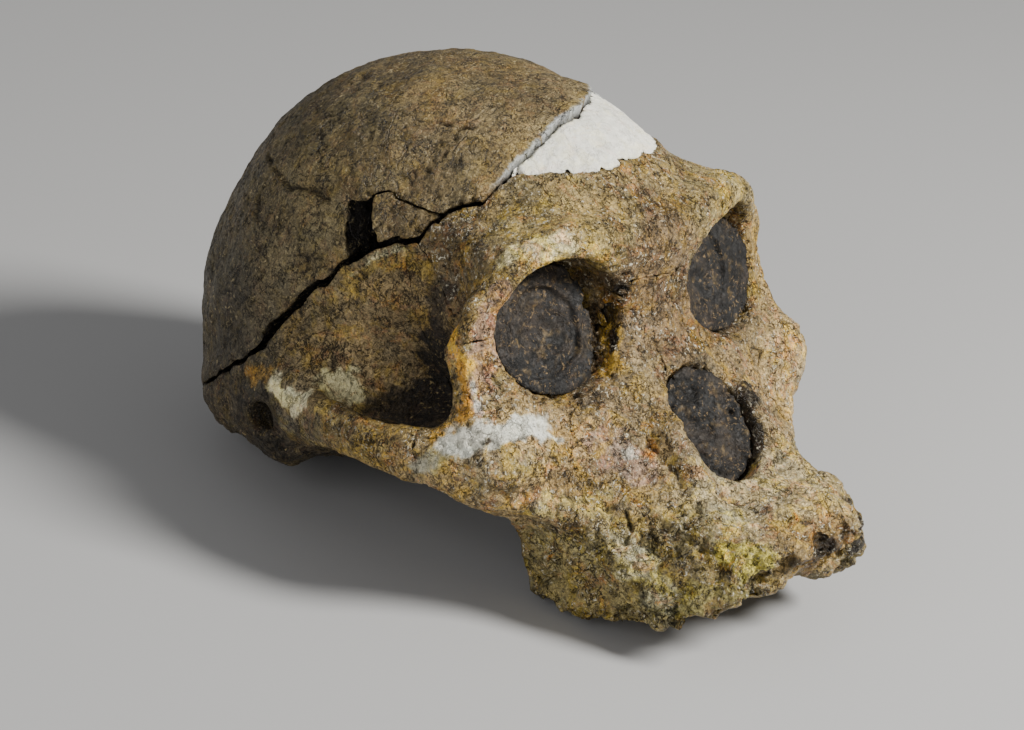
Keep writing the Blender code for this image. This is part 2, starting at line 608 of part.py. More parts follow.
def main():
    for thing in list(bpy.data.objects):
        bpy.data.objects.remove(thing)
    body = bone_mesh()
    without(body, [whole(ORBIT_RIGHT), whole(ORBIT_LEFT), whole(NOSE)])
    bones = {"skull": body}
    thin = (GAP, GAP)
    part_bones(bones, "skull", [wall(BREAK, (BREAK_RIGHT, BREAK_LEFT), ACROSS, "xz")],
               ["vault_cap", "lower"])
    part_bones(bones, "lower", [wall(FRONTAL_FOOT, thin, ACROSS, "xz")],
               ["brow_and_plaster", "face_and_base"])
    part_bones(bones, "brow_and_plaster", [wall(PLASTER_FOOT, thin, ACROSS, "xz")],
               ["frontal_plaster", "frontal"])
    part_bones(bones, "face_and_base", [wall(FACE_REAR, thin, ACROSS, "xz")], ["face", "base"])
    sides = (1, -1)
    cheek_span = (FACE_REAR[-1][0] - 1, 110)
    part_bones(bones, "face", [wall(seam(CHEEK_SEAM, side, True), thin, cheek_span, "yz") for side in sides],
               ["maxilla", "zygomatic_right", "zygomatic_left"])
    rear = [wall(OCCIPITAL_EDGE + seam(OCCIPITAL_EDGE, -1)[::-1], thin, UPRIGHT, "xy")]
    rear += [wall(seam(TEMPORAL_EDGE, side), thin, UPRIGHT, "xy") for side in sides]
    rear += [wall(seam(ARCH_ROOT, side), thin, UPRIGHT, "xy") for side in sides]
    part_bones(bones, "base", rear, ["occipital", "sphenoid", "temporal_right", "temporal_left",
                                     "arch_right", "arch_left"])
    cap = bones["vault_cap"]
    bones["parietal_fragment"] = part_off(cap, "parietal_fragment", FRAGMENT,
                                          (-60, -FRAGMENT_DEPTH), "xz")
    without(cap, [prism(HOLE, (-60, -HOLE_DEPTH), "xz")])
    bones["nasal_bones"] = part_off(bones["maxilla"], "nasal_bones", NASAL, (NASAL_BACK, 100), "yz")
    for side, name in ((-1, "temporal_right"), (1, "temporal_left")):
        x, y, z = EAR.centre
        without(bones[name], [whole(EAR._replace(centre=(x, side*y, z)), 5, 10)])
    without(bones["maxilla"], sockets() + [whole(mass, 5, 10) for mass in OPENED])
    for name in ("vault_cap", "maxilla", "temporal_right", "temporal_left"):
        bones[name] = largest(bones[name], name)
    rock = [fill("orbit_rock_right", ORBIT_RIGHT, ORBIT_FRONT),
            fill("orbit_rock_left", ORBIT_LEFT, ORBIT_FRONT), fill("nose_rock", NOSE, NOSE_FRONT)]
    without(rock[0], [prism(INNER_WALL, (-10, 45), "xy")])
    for name, bone in bones.items():
        colour = {"frontal_plaster": PLASTER, "vault_cap": VAULT_BONE}.get(name, BONE)
        finish(bone, colour, 0.75)
    for stone in rock:
        finish(stone, ROCK, 0.9)
    lay_down([*bones.values(), *rock])


main()
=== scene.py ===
"""Fossil hominin skull: the finished bones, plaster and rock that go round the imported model.

The skull is worked out in millimetres in its own frame: x forward, y to its left, z up, with the
middle of the line between the ear openings as origin. It is then laid down as it rests. Its bone
is a field, a sum of named masses less named hollows; each bone is the part of that field that its
seams enclose, meshed on a fine grid, drawn sharp at its broken edges, and given relief.
"""
import functools
import math
from collections import namedtuple
from concurrent.futures import ThreadPoolExecutor

import bpy
import numpy as np
from mathutils import Matrix, Vector


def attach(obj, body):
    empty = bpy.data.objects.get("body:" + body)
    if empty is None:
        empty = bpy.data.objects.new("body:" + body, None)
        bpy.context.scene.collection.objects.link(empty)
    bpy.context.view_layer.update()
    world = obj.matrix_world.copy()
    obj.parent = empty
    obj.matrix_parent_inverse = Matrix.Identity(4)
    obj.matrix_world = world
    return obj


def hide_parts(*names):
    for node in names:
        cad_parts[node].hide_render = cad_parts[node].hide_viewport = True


bl_info = {
    "name": "Fossil hominin skull",
    "version": (1, 0, 0),
    "blender": (4, 5, 0),
    "location": "3D View > Sidebar > Skull",
    "description": "Finished bones of a fossil skull round a packed model",
    "category": "Add Mesh",
}

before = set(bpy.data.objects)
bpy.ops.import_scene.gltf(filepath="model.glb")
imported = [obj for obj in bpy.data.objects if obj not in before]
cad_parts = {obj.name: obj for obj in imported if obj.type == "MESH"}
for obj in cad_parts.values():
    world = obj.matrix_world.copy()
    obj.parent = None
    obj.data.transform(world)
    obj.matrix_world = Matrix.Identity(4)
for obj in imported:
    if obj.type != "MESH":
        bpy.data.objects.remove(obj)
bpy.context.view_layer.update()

MM = 0.001
BODY = "root"
IMAGE = (1024, 730)

Mass = namedtuple("Mass", "centre half turn blend")
UNTURNED = (0, 0, 0)

VAULT = [
    Mass((8, 0, 33), (59, 47, 45.5), UNTURNED, 0),        # dome
    Mass((-17, 0, 19), (45, 47, 36), UNTURNED, 12),       # back of the head
    Mass((44, 0, 30), (33, 34, 33), UNTURNED, 12),        # forehead
    Mass((-29, 0, 0), (33, 46.5, 19), (0, 10, 0), 8),     # shelf for the neck muscles
    Mass((0, 0, 2), (46, 34, 16), UNTURNED, 10),          # floor
    Mass((36, 0, -6), (24, 17, 14), UNTURNED, 8),         # body of the sphenoid
]
PAIRED_VAULT = [
    Mass((-8, 33, 4), (30, 21, 18), (8, 0, 0), 9),        # swelling above the ear
]
PAIRED_FACE = [
    Mass((62, 48, -10), (10.5, 12, 11), (-25, 0, 0), 5),  # cheek
    Mass((50, 26, 14), (17, 18, 20), UNTURNED, 5),        # wall behind the orbit
]
PAIRED_BASE = [
    Mass((-2, 11, -17), (8, 4.5, 4.5), (-25, 0, 0), 3),   # condyle
]
HOLLOWS = [
    Mass((72, 0, -60), (38, 19, 22), UNTURNED, 4),        # palate
    Mass((-14, 0, -18), (15, 13, 14), UNTURNED, 3),       # great hole
]
FOSSA = [
    Mass((45, 45, 2), (11, 10, 18), (12, 0, 0), 5),       # behind the orbit's side
    Mass((50, 52, 33), (12, 11, 14), UNTURNED, 6),        # above it, behind the brow
    Mass((91, 34, -25), (8, 4, 9), (-30, 0, 0), 6),       # beside the root of the canine
    Mass((60, 47, -37), (13, 9, 11), (-20, 0, 0), 6),     # under the cheek
]
OPENED = [               # front tooth sockets that have lost their outer walls
    Mass((119, -1.5, -43), (4.4, 3.4, 6.5), (0, -20, 0), 1.2),
    Mass((113.5, -11.5, -46), (3.6, 3.4, 6.5), (-20, -15, 0), 1.2),
    Mass((111, 19.5, -40), (4.5, 3.6, 7.5), (30, -15, 0), 1.2),
    Mass((117, 9, -44), (3.4, 3.0, 6.5), (10, -15, 0), 1.2),
]
PAIRED_HOLLOWS = [
    Mass((40, 6.5, -24), (20, 6, 11), UNTURNED, 3),       # back of the nose
    Mass((12, 42, -12), (8, 11, 9), UNTURNED, 4),         # socket of the jaw joint
]
ORBIT_RIGHT = Mass((72, -31, 16.4), (17, 17.2, 16.4), (-12, -4, 0), 0)
ORBIT_LEFT = Mass((72, 28.3, 18.2), (17, 18, 15.8), (12, -4, 0), 0)
NOSE = Mass((87, 0, -13), (17, 11.6, 15.5), (0, -16, 0), 0)
ORBIT_FRONT, NOSE_FRONT = -0.32, -0.18   # place of the rock's face, as a share of the hollow

MASTOID = [(-14, 45, -4, 9), (-12, 46, -9.5, 5.5)]        # x, y, z, radius
PTERYGOID = [(44, 14, -8, 8), (45, 15, -34, 5)]
ARCH = [(0, 50, -0.5, 5), (16, 57, -1, 3.8), (32, 61.3, -3.5, 3.6), (46, 60, -7, 4.2), (58, 55, -10, 5)]
ARCH_FLATNESS = 0.62                                      # thickness over height
BROW = [(77, 2, 30, 4.6), (77, 14, 34.6, 4.6), (74.5, 28, 36, 4.4), (68.5, 40, 32, 4), (61.5, 49, 25, 3.2)]
PILLAR = [(61.5, 49, 25, 3.2), (60, 51.5, 12, 2.6), (60.5, 52.5, 0, 3.2)]      # side of the orbit
CREST = [(62, 54, -16, 3), (68, 46, -22, 3.2), (75.5, 37, -28, 3.2), (81, 31, -38, 3)]
NOSE_PILLAR = [(84.5, 14, -10, 3), (92.5, 15.5, -25, 3.6), (100.5, 18.5, -40, 4)]  # beside the nose
LEFT_RISE = 0.05         # slope by which the face's left side stands higher, as the fossil is bent

# How far forward the face comes, by height and by distance from its middle line
FACE_LOW, FACE_STEP, FACE_COLUMN = -36, 8, 16
FACE_DEPTH = np.array([
    [101, 96, 80, 56, 34],   # tooth row
    [96, 91, 79, 61, 38],
    [93, 85, 76, 69, 50],    # below the nose
    [89, 79, 74, 73, 58],    # cheek
    [85, 76, 71, 69, 54],
    [80, 74, 70, 66, 46],    # floor of the orbit
    [77, 73, 70, 65, 42],
    [76, 74, 71, 65, 40],    # root of the nose
    [79, 79, 75, 64, 38],
    [81, 80, 76, 60, 32],    # brow
    [76, 74, 69, 50, 24],    # foot of the forehead
], float)
FACE_HALF = np.array([40, 48, 57, 62, 58, 55, 54.5, 55, 54, 50, 40], float)
FACE_BACK = np.array([54, 53, 52, 53, 55, 54, 53, 52, 50, 48, 46], float)
BROW_LINE = [(0, 42), (14, 43.5), (30, 42.5), (42, 38.5), (50, 31), (60, 18)]     # y, z
CHEEK_LINE = [(0, -45), (30, -42), (38, -33), (45, -27.5), (52, -21.5), (60, -14)]

# Muzzle: a U in plan, with the reach and the half width that it has at each height
MUZZLE_REACH = [(-60, 47), (-46, 48), (-40, 47.5), (-33, 40.5), (-27, 27.5), (-20, 18), (5, 8)]
MUZZLE_HALF = [(-60, 33.5), (-40, 33.5), (-27, 32), (-8, 30), (5, 28), (20, 26)]
MUZZLE_START, MUZZLE_BACK, MUZZLE_POWER = 70, 47, 2.4
TOOTH_LINE = [(45, -51), (75, -54.5), (95, -55.5), (105, -52), (113, -45), (124, -41)]  # x, z

# The break round the vault, seen from the side, and its width on the right and on the left
BREAK = [(-80, -4), (-56, -1), (-37.7, 5.4), (-22.2, 10.7), (-9.4, 16.2), (-5.5, 20.8), (3.1, 26.7),
         (12.1, 31.4), (19.1, 35.6), (28.5, 39.1), (37.8, 39.6), (41.4, 42.7), (45.7, 45.6),
         (53, 46.3), (56.4, 51), (58.9, 57), (59.5, 90)]
BREAK_RIGHT = [0.6, 0.8, 1.0, 1.2, 2.0, 3.0, 2.2, 1.6, 1.4, 1.6, 1.8, 1.4, 0.9, 0.4, 0.3, 0.3, 0.3]
BREAK_LEFT = 0.5
HOLE = [(19.5, 49.2), (25.9, 49.5), (27.2, 40.4), (28, 36), (19.1, 33)]
FRAGMENT = [(26.4, 50.4), (30.8, 50.3), (36.6, 47.6), (43, 45.6), (39.6, 40), (28.6, 39.4)]
FRAGMENT_DEPTH, HOLE_DEPTH = 34, 30      # y that they reach in to
FRAGMENT_GAP = 0.45
CAP_CURVE, CAP_BACK = 0.02, 18           # the cap's front edge curves back past the middle, at most so far

# Seams between the bones: seen from the side (x, z), from above (x, y) or from in front (y, z)
PLASTER_FOOT = [(42, 50.8), (56.45, 51.1), (62, 51.4), (68, 50.2), (76, 48)]
FRONTAL_FOOT = [(38, 39.8), (43, 32), (46, 23), (52, 19.5), (60, 17.5), (69, 18.5), (76, 23.5), (90, 24)]
FACE_REAR = [(53, 19.6), (50.5, 8), (49.5, -8), (48.8, -24), (48.6, -70)]
OCCIPITAL_EDGE = [(-22, 90), (-24, 45), (-18, 31), (-6, 21), (16, 13)]
TEMPORAL_EDGE = [(36, 49), (35, 36), (27, 21), (15, 12.2)]
ARCH_ROOT = [(20.5, 49), (20, 80)]
ARCH_INNER = 50
CHEEK_SEAM = [(11, 30), (13, 14), (30, -1), (36, -12), (40, -24), (45, -40)]
NASAL = [(-3.5, 26), (3.5, 26), (4.5, 14), (7, -4), (-7, -4), (-4.5, 14)]
NASAL_BACK = 72
SEAM_HALF = 0.06                         # kept back from a seam on each side
EAR = Mass((-10.5, 53, -1), (3.2, 10, 3.6), UNTURNED, 0)

Tooth = namedtuple("Tooth", "length breadth")
TEETH = [Tooth(8, 6), Tooth(6.5, 6), Tooth(9, 8.5), Tooth(9, 10), Tooth(9.5, 10.5),
         Tooth(12, 11), Tooth(13, 11.5), Tooth(12.5, 11)]   # one side, from the middle back
SOCKET_DEPTH = 7
GRID_LOW, GRID_HIGH = (-66, -68, -60), (124, 68, 82)


class Noise:
    """Smooth noise from a wrapped lattice of seeded random numbers."""
    SIDE = 32

    def __init__(self, seed):
        self.lattice = np.random.default_rng(seed).uniform(-1, 1, (self.SIDE,)*3).astype(np.float32)

    def at(self, points, size):
        """Lattice blended between its eight corners with a smooth step, one knot every size mm."""
        place = np.asarray(points, np.float32)/np.float32(size)
        knot = np.floor(place)
        part = place - knot
        part = np.moveaxis(part*part*(3 - 2*part), -1, 0)
        low = np.moveaxis(knot.astype(np.int32) % self.SIDE, -1, 0)
        high = (low + 1) % self.SIDE
        values = self.lattice.ravel()
        planes = []
        for x in (low[0], high[0]):
            rows = []
            for y in (low[1], high[1]):
                start = (x*self.SIDE + y)*self.SIDE
                first = values[start + low[2]]
                rows.append(first + part[2]*(values[start + high[2]] - first))
            planes.append(rows[0] + part[1]*(rows[1] - rows[0]))
        return planes[0] + part[0]*(planes[1] - planes[0])

    def rough(self, points, size, layers=4, fade=0.55):
        """Sum of layers of noise, each of half the size and a share of the height of the last."""
        return sum(self.at(points + 17.3*k, size/2**k)*fade**k for k in range(layers))


BROAD, FINE, WARP, STAIN, TORN = (Noise(seed) for seed in range(1, 6))


def smooth_step(low, high, value):
    """Rise from 0 at low to 1 at high, level at both ends."""
    share = np.clip((value - low)/(high - low), 0, 1)
    return share*share*(3 - 2*share)


def smooth_min(a, b, width):
    """Lower of two fields, with the step between them rounded over a width."""
    share = np.clip(0.5 + 0.5*(b - a)/max(width, 1e-6), 0, 1)
    return b + (a - b)*share - width*share*(1 - share)


def smooth_max(a, b, width):
    """Higher of two fields, with the step between them rounded over a width."""
    return -smooth_min(-a, -b, width)


def axes(turn):
    """Rotation for yaw, pitch and roll in degrees; its columns are the turned axes."""
    yaw, pitch, roll = (math.radians(angle) for angle in turn)
    return np.array(Matrix.Rotation(yaw, 3, "Z") @ Matrix.Rotation(pitch, 3, "Y")
                    @ Matrix.Rotation(roll, 3, "X"), np.float32)


def ellipsoid(points, mass):
    """Signed distance, near enough, to an ellipsoid: share out, scaled by its local steepness."""
    local = (points - np.array(mass.centre, np.float32)) @ axes(mass.turn)
    half = np.array(mass.half, np.float32)
    far = np.linalg.norm(local/half, axis=-1)
    return far*(far - 1)/np.maximum(np.linalg.norm(local/half**2, axis=-1), 1e-6)


def rod(points, line):
    """Signed distance to balls of given radius carried along a line of points."""
    field = np.inf
    for (*start, first), (*end, last) in zip(line, line[1:]):
        start, along = np.array(start, np.float32), np.subtract(end, start).astype(np.float32)
        share = np.clip((points - start) @ along/(along @ along), 0, 1)
        field = np.minimum(field, np.linalg.norm(points - start - share[..., None]*along, axis=-1)
                           - first - (last - first)*share)
    return field


def steps(line, at):
    """Height of a line of points above a place on its base."""
    return np.interp(at, *zip(*line)).astype(np.float32)


def catmull(a, b, c, d, share):
    """Catmull-Rom cubic between b and c, whose slopes there follow their neighbours."""
    return b + 0.5*share*(c - a + share*(2*a - 5*b + 4*c - d + share*(3*(b - c) + d - a)))


def curve(values, at):
    """Curve through evenly spaced values along the first axis."""
    left = np.clip(np.floor(at).astype(int), 0, len(values) - 2)
    around = (values[np.clip(left + k, 0, len(values) - 1)] for k in (-1, 0, 1, 2))
    return catmull(*around, np.clip(at - left, 0, 1))


def face_front(y, z):
    """Depth table read by Catmull-Rom curves, first along its rows and then across them."""
    rows = np.clip((z - FACE_LOW)/FACE_STEP, 0, len(FACE_DEPTH) - 1)
    columns = np.clip(y/FACE_COLUMN, 0, FACE_DEPTH.shape[1] - 1)
    across = np.stack([curve(row, columns) for row in FACE_DEPTH])
    left = np.clip(np.floor(rows).astype(int), 0, len(FACE_DEPTH) - 2)
    around = (np.take_along_axis(across, np.clip(left + k, 0, len(FACE_DEPTH) - 1)[None], 0)[0]
              for k in (-1, 0, 1, 2))
    return catmull(*around, rows - left)


def face(points):
    """Mask of the face: in front of its back, inside its sides, below the brow line."""
    x, y, z = np.moveaxis(points, -1, 0)
    level = np.clip((z - FACE_LOW)/FACE_STEP, 0, len(FACE_DEPTH) - 1)
    field = smooth_max((x - face_front(y, z))*0.85, (y - curve(FACE_HALF, level))*0.95, 5)
    field = smooth_max(field, curve(FACE_BACK, level) - x, 4)
    field = smooth_max(field, (z - steps(BROW_LINE, y))*0.9, 9)
    return smooth_max(field, (steps(CHEEK_LINE, y) - z)*0.9, 5)


def muzzle(points):
    """Snout: superellipse in plan, cut off behind, below along the tooth row, and above."""
    x, y, z = np.moveaxis(points, -1, 0)
    half = steps(MUZZLE_HALF, z)
    ahead = np.maximum(x - MUZZLE_START, 0)/steps(MUZZLE_REACH, z)
    plan = (ahead**MUZZLE_POWER + np.abs(y/half)**MUZZLE_POWER)**(1/MUZZLE_POWER)
    field = smooth_max((plan - 1)*half*0.8, MUZZLE_BACK - x, 8)
    torn = 3.2*np.maximum(TORN.rough(points, 8, 3, 0.6), 0)*smooth_step(-34, -46, z)
    field = smooth_max(field, steps(TOOTH_LINE, x) - z + torn, 2.5)
    return smooth_max(field, z - 4, 8)


def mirrored(points):
    """Points of both sides, folded on to the left."""
    return np.stack([points[..., 0], np.abs(points[..., 1]), points[..., 2]], -1)


def skull_field(points):
    """Bone of the whole skull: masses joined by rounded minima, hollows taken out of them."""
    paired = mirrored(points)
    flat = np.array([1, 1, ARCH_FLATNESS], np.float32)
    field = ellipsoid(points, VAULT[0])
    for mass in VAULT[1:]:
        field = smooth_min(field, ellipsoid(points, mass), mass.blend)
    for mass in PAIRED_VAULT + PAIRED_BASE:
        field = smooth_min(field, ellipsoid(paired, mass), mass.blend)
    field = smooth_min(field, rod(paired, MASTOID), 6)
    bent = paired - np.array([0, 0, LEFT_RISE], np.float32)*np.maximum(points[..., 1:2], 0)
    front = smooth_min(muzzle(points), face(bent), 7)
    for mass in PAIRED_FACE:
        front = smooth_min(front, ellipsoid(bent, mass), mass.blend)
    for line, blend in ((BROW, 4), (PILLAR, 4), (CREST, 5), (NOSE_PILLAR, 6)):
        front = smooth_min(front, rod(bent, line), blend)
    for mass in FOSSA:
        front = smooth_max(front, -ellipsoid(bent, mass), mass.blend)
    field = smooth_min(field, front, 7)
    arch = [(x, y, z*ARCH_FLATNESS, radius) for x, y, z, radius in ARCH]
    field = smooth_min(field, rod(paired*flat, arch), 4)
    field = smooth_min(field, rod(paired, PTERYGOID), 4)
    for mass in HOLLOWS:
        field = smooth_max(field, -ellipsoid(points, mass), mass.blend)
    for mass in PAIRED_HOLLOWS:
        field = smooth_max(field, -ellipsoid(paired, mass), mass.blend)
    for mass in (ORBIT_RIGHT, ORBIT_LEFT, NOSE):
        field = smooth_max(field, -ellipsoid(points, mass), 2.2)
    field = smooth_max(field, -ellipsoid(paired, EAR), 1.5)
    low = points[..., 2] < -31
    if low.any():
        field[low] = tooth_sockets(points[low], field[low])
    return field


def tooth_row():
    """Places along the U of the tooth row and the direction that it runs in, for one side."""
    turn = np.linspace(0, math.pi/2, 60)
    x = 70 + 41.5*np.cos(turn)**(2/MUZZLE_POWER)
    y = 26.5*np.sin(turn)**(2/MUZZLE_POWER)
    line = np.concatenate([np.stack([x, y], 1), [(48, 26.5)]])
    run = np.concatenate([[0], np.cumsum(np.linalg.norm(np.diff(line, axis=0), axis=1))])
    lengths = np.array([tooth.length for tooth in TEETH])
    mids = (np.cumsum(lengths) - lengths/2)*(run[-1] - 1)/lengths.sum()
    place = np.stack([np.interp(mids, run, line[:, k]) for k in (0, 1)], 1)
    ahead = np.stack([np.interp(mids + 1, run, line[:, k]) for k in (0, 1)], 1)
    return place, np.degrees(np.arctan2(*(ahead - place).T[::-1]))


def tooth_sockets(points, field):
    """Empty sockets along the tooth row, with the broken stub of a root standing in some."""
    for mass in OPENED:
        field = smooth_max(field, -ellipsoid(points, mass), mass.blend)
    places, angles = tooth_row()
    for side in (1, -1):
        for number, (tooth, (x, y), angle) in enumerate(zip(TEETH, places, angles)):
            edge = float(steps(TOOTH_LINE, x))
            pit = Mass((x, side*y, edge - 2), (tooth.length*0.4, tooth.breadth*0.36, SOCKET_DEPTH),
                       (side*angle, 0, 0), 0)
            field = smooth_max(field, -ellipsoid(points, pit), 1)
            stub = Mass((x, side*y, edge + 8), (tooth.length*0.26, tooth.breadth*0.26, 5.5 - number % 3),
                        (side*angle, 6, 0), 0)
            field = smooth_min(field, ellipsoid(points, stub), 0.6)
    return field


def off_line(line, u, v):
    """Signed distance to an open line in a plane, above zero on the left of its run; its ends
    go on straight, and at a corner the leg that a point is more squarely off decides the side."""
    near = np.full(u.shape, np.inf, np.float32)
    signed = np.zeros(u.shape, np.float32)
    for number, ((u0, v0), (u1, v1)) in enumerate(zip(line, line[1:])):
        length = math.hypot(u1 - u0, v1 - v0)
        du, dv = (u1 - u0)/length, (v1 - v0)/length
        along = (u - u0)*du + (v - v0)*dv
        across = (v - v0)*du - (u - u0)*dv
        low = -1e4 if number == 0 else 0
        high = 1e4 if number == len(line) - 2 else length
        far = np.hypot(along - np.clip(along, low, high), across)
        closer = (far < near - 1e-4) | ((far < near + 1e-4) & (np.abs(across) > np.abs(signed)))
        signed = np.where(closer, np.sign(across)*np.maximum(far, 1e-6), signed)
        near = np.minimum(near, far)
    return signed


def off_outline(outline, u, v):
    """Signed distance to a closed outline in a plane, below zero inside it."""
    near = np.full(u.shape, np.inf, np.float32)
    inside = np.zeros(u.shape, bool)
    for (u0, v0), (u1, v1) in zip(outline, outline[1:] + outline[:1]):
        leg_u, leg_v = u1 - u0, v1 - v0
        share = np.clip(((u - u0)*leg_u + (v - v0)*leg_v)/(leg_u**2 + leg_v**2), 0, 1)
        near = np.minimum(near, np.hypot(u - u0 - share*leg_u, v - v0 - share*leg_v))
        if leg_v:
            inside ^= ((v0 > v) != (v1 > v)) & (u < leg_u*(v - v0)/leg_v + u0)
    return np.where(inside, -near, near)


def warp(points, reach, size):
    """Points moved about by noise, so that lines drawn on them run ragged."""
    shift = [WARP.rough(points + 40.1*k, size, 3) for k in range(3)]
    return points + reach*np.stack(shift, -1)


def cell_edges(points, size, seed):
    """Distance to the border between the two nearest of scattered points, for crack networks."""
    place = points/size
    knot = np.floor(place).astype(int)
    first = np.full(points.shape[:-1], 9.0, np.float32)
    second = first.copy()
    spots = np.random.default_rng(seed).uniform(0, 1, (16, 16, 16, 3)).astype(np.float32)
    for step in np.ndindex(3, 3, 3):
        cell = knot + step - 1
        spot = cell + spots[tuple(np.moveaxis(cell % 16, -1, 0))]
        far = np.linalg.norm(place - spot, axis=-1)
        second = np.minimum(second, np.maximum(first, far))
        first = np.minimum(first, far)
    return (second - first)*size*0.5


def break_gap(x, y):
    """Half width of the break: as listed along the right side, even along the left."""
    right = np.interp(x, [place for place, _ in BREAK[:-1]], BREAK_RIGHT[:-1])
    left = np.clip((y + 45)/60, 0, 1)
    return ((right*(1 - left) + BREAK_LEFT*left)/2).astype(np.float32)


def seams(points):
    """Signed distances to every seam, worked out on ragged points."""
    ragged = warp(points, 0.85, 4.2)
    x, y, z = np.moveaxis(ragged, -1, 0)
    side = np.abs(y)
    back = np.minimum(CAP_CURVE*np.maximum(y + 8, 0)**2, CAP_BACK)*np.clip((z - 46)/8, 0, 1)
    occipital = [(a, -b) for a, b in OCCIPITAL_EDGE] + OCCIPITAL_EDGE[::-1]
    return {
        "above": off_line(BREAK, x + back, z), "gap": break_gap(x, y),
        "plaster": off_line(PLASTER_FOOT, x, z), "frontal": off_line(FRONTAL_FOOT, x, z),
        "face": off_line(FACE_REAR, x, z), "occipital": off_line(occipital, x, y),
        "sphenoid": off_line(TEMPORAL_EDGE, x, side), "root": off_line(ARCH_ROOT, x, side),
        "outer": side - ARCH_INNER, "cheek": off_line(CHEEK_SEAM, side, z),
        "nasal": np.maximum(off_outline(NASAL, y, z), NASAL_BACK - x),
        "hole": np.maximum(off_outline(HOLE, x, z), y + HOLE_DEPTH),
        "fragment": np.maximum(off_outline(FRAGMENT, x, z), y + FRAGMENT_DEPTH),
        "right": y,
    }


def highest(*fields):
    """Field of what lies inside every one of some fields."""
    out = fields[0]
    for field in fields[1:]:
        out = np.maximum(out, field)
    return out


def bone_region(name, s):
    """Field that is below zero inside a bone's seams, each kept back from by half a gap."""
    half = SEAM_HALF
    above = s["gap"] - s["above"]
    below = s["above"] + s["gap"]
    behind = s["face"] + half
    inner_arch = np.minimum(half - s["root"], s["outer"] + half)
    regions = {
        "vault_cap": lambda: highest(above, -s["hole"], FRAGMENT_GAP - s["fragment"]),
        "parietal_fragment": lambda: highest(above, s["fragment"]),
        "frontal_plaster": lambda: highest(below, half - s["frontal"], half - s["plaster"]),
        "frontal": lambda: highest(below, half - s["frontal"], s["plaster"] + half),
        "occipital": lambda: highest(below, s["frontal"] + half, behind, half - s["occipital"]),
        "sphenoid": lambda: highest(below, s["frontal"] + half, behind, s["occipital"] + half,
                                    half - s["sphenoid"], s["outer"] + half),
        "nasal_bones": lambda: highest(s["frontal"] + half, half - s["face"], s["nasal"]),
        "maxilla": lambda: highest(s["frontal"] + half, half - s["face"], s["cheek"] + half,
                                   2*half - s["nasal"]),
    }
    right = s["right"] if name.endswith("right") else -s["right"]
    paired = {
        "temporal": lambda: highest(below, s["frontal"] + half, behind, s["occipital"] + half,
                                    s["sphenoid"] + half, inner_arch, right),
        "zygomatic": lambda: highest(s["frontal"] + half, half - s["face"], half - s["cheek"], right),
        "arch": lambda: highest(behind, s["root"] + half, half - s["outer"], right),
    }
    return (regions.get(name) or paired[name.rsplit("_", 1)[0]])()


CELL = 1.2                # mm from knot to knot of the grid; the faces are half as wide
CELLS = {"vault_cap": 1.38}                           # coarser, to keep the largest piece in bounds
PAD = 9.0                 # value given to the field at the grid's own border
ROCK_CELL = 0.62
LONGEST_MOVE = CELL*0.7   # how far a vertex is moved at once
PROUD = {"vault_cap": 1.9, "frontal_plaster": -0.5}   # mm that a piece stands out at its front
PROUD_RISE = (34, 56)     # x over which it comes out


@functools.lru_cache(None)
def sampled(cell):
    """Bone field and seams on one grid over the whole skull, worked out once, slab by slab."""
    lines = [np.arange(low, high, cell, dtype=np.float32) for low, high in zip(GRID_LOW, GRID_HIGH)]

    def slab(xs):
        points = np.stack(np.meshgrid(xs, *lines[1:], indexing="ij"), -1)
        return skull_field(points), seams(points)

    with ThreadPoolExecutor() as pool:
        fields, slabs = zip(*pool.map(slab, np.array_split(lines[0], 16)))
    bone = np.concatenate(fields)
    bone[[0, -1]] = bone[:, [0, -1]] = bone[:, :, [0, -1]] = PAD
    return bone, {key: np.concatenate([slab[key] for slab in slabs]) for key in slabs[0]}


def nets(field, low, cell):
    """Surface nets: a vertex in each cell that the surface crosses, at the mean of the crossings
    on its edges, and a quad round each crossed edge of the grid, facing from inside to outside."""
    places, rings = [], []
    for axis in range(3):
        u, v = (axis + 1) % 3, (axis + 2) % 3
        start, end = field.swapaxes(0, axis)[:-1], field.swapaxes(0, axis)[1:]
        start, end = start.swapaxes(0, axis), end.swapaxes(0, axis)
        at = np.argwhere((start < 0) != (end < 0))
        first, last = start[tuple(at.T)], end[tuple(at.T)]
        place = at.astype(float)
        place[:, axis] += first/(first - last)
        ring = []
        for du, dv in ((-1, -1), (0, -1), (0, 0), (-1, 0)):
            corner = at.copy()
            corner[:, u] += du
            corner[:, v] += dv
            ring.append(np.ravel_multi_index(corner.T, field.shape))
        ring = np.stack(ring, 1)
        ring[first >= 0] = ring[first >= 0, ::-1]
        places.append(place)
        rings.append(ring)
    places, rings = np.concatenate(places), np.concatenate(rings)
    _, quads = np.unique(rings, return_inverse=True)
    quads = quads.reshape(rings.shape)
    count = np.bincount(quads.ravel())
    vertices = np.stack([np.bincount(quads.ravel(), np.repeat(places[:, k], 4))/count
                         for k in range(3)], 1)
    return np.array(low) + cell*vertices, quads


def biggest_part(vertices, quads):
    """Largest connected part of a mesh: labels spread along edges, each taking the lower one."""
    label = np.arange(len(vertices))
    ends = np.concatenate([quads[:, [k, (k + 1) % 4]] for k in range(4)])
    while True:
        low = label[ends].min(axis=1)
        new = label.copy()
        np.minimum.at(new, label[ends[:, 0]], low)
        np.minimum.at(new, label[ends[:, 1]], low)
        new = new[new][new[new]]
        if (new == label).all():
            break
        label = new
    kept = label[quads[:, 0]] == np.bincount(label[quads[:, 0]]).argmax()
    used, quads = np.unique(quads[kept], return_inverse=True)
    return vertices[used], quads.reshape(-1, 4)


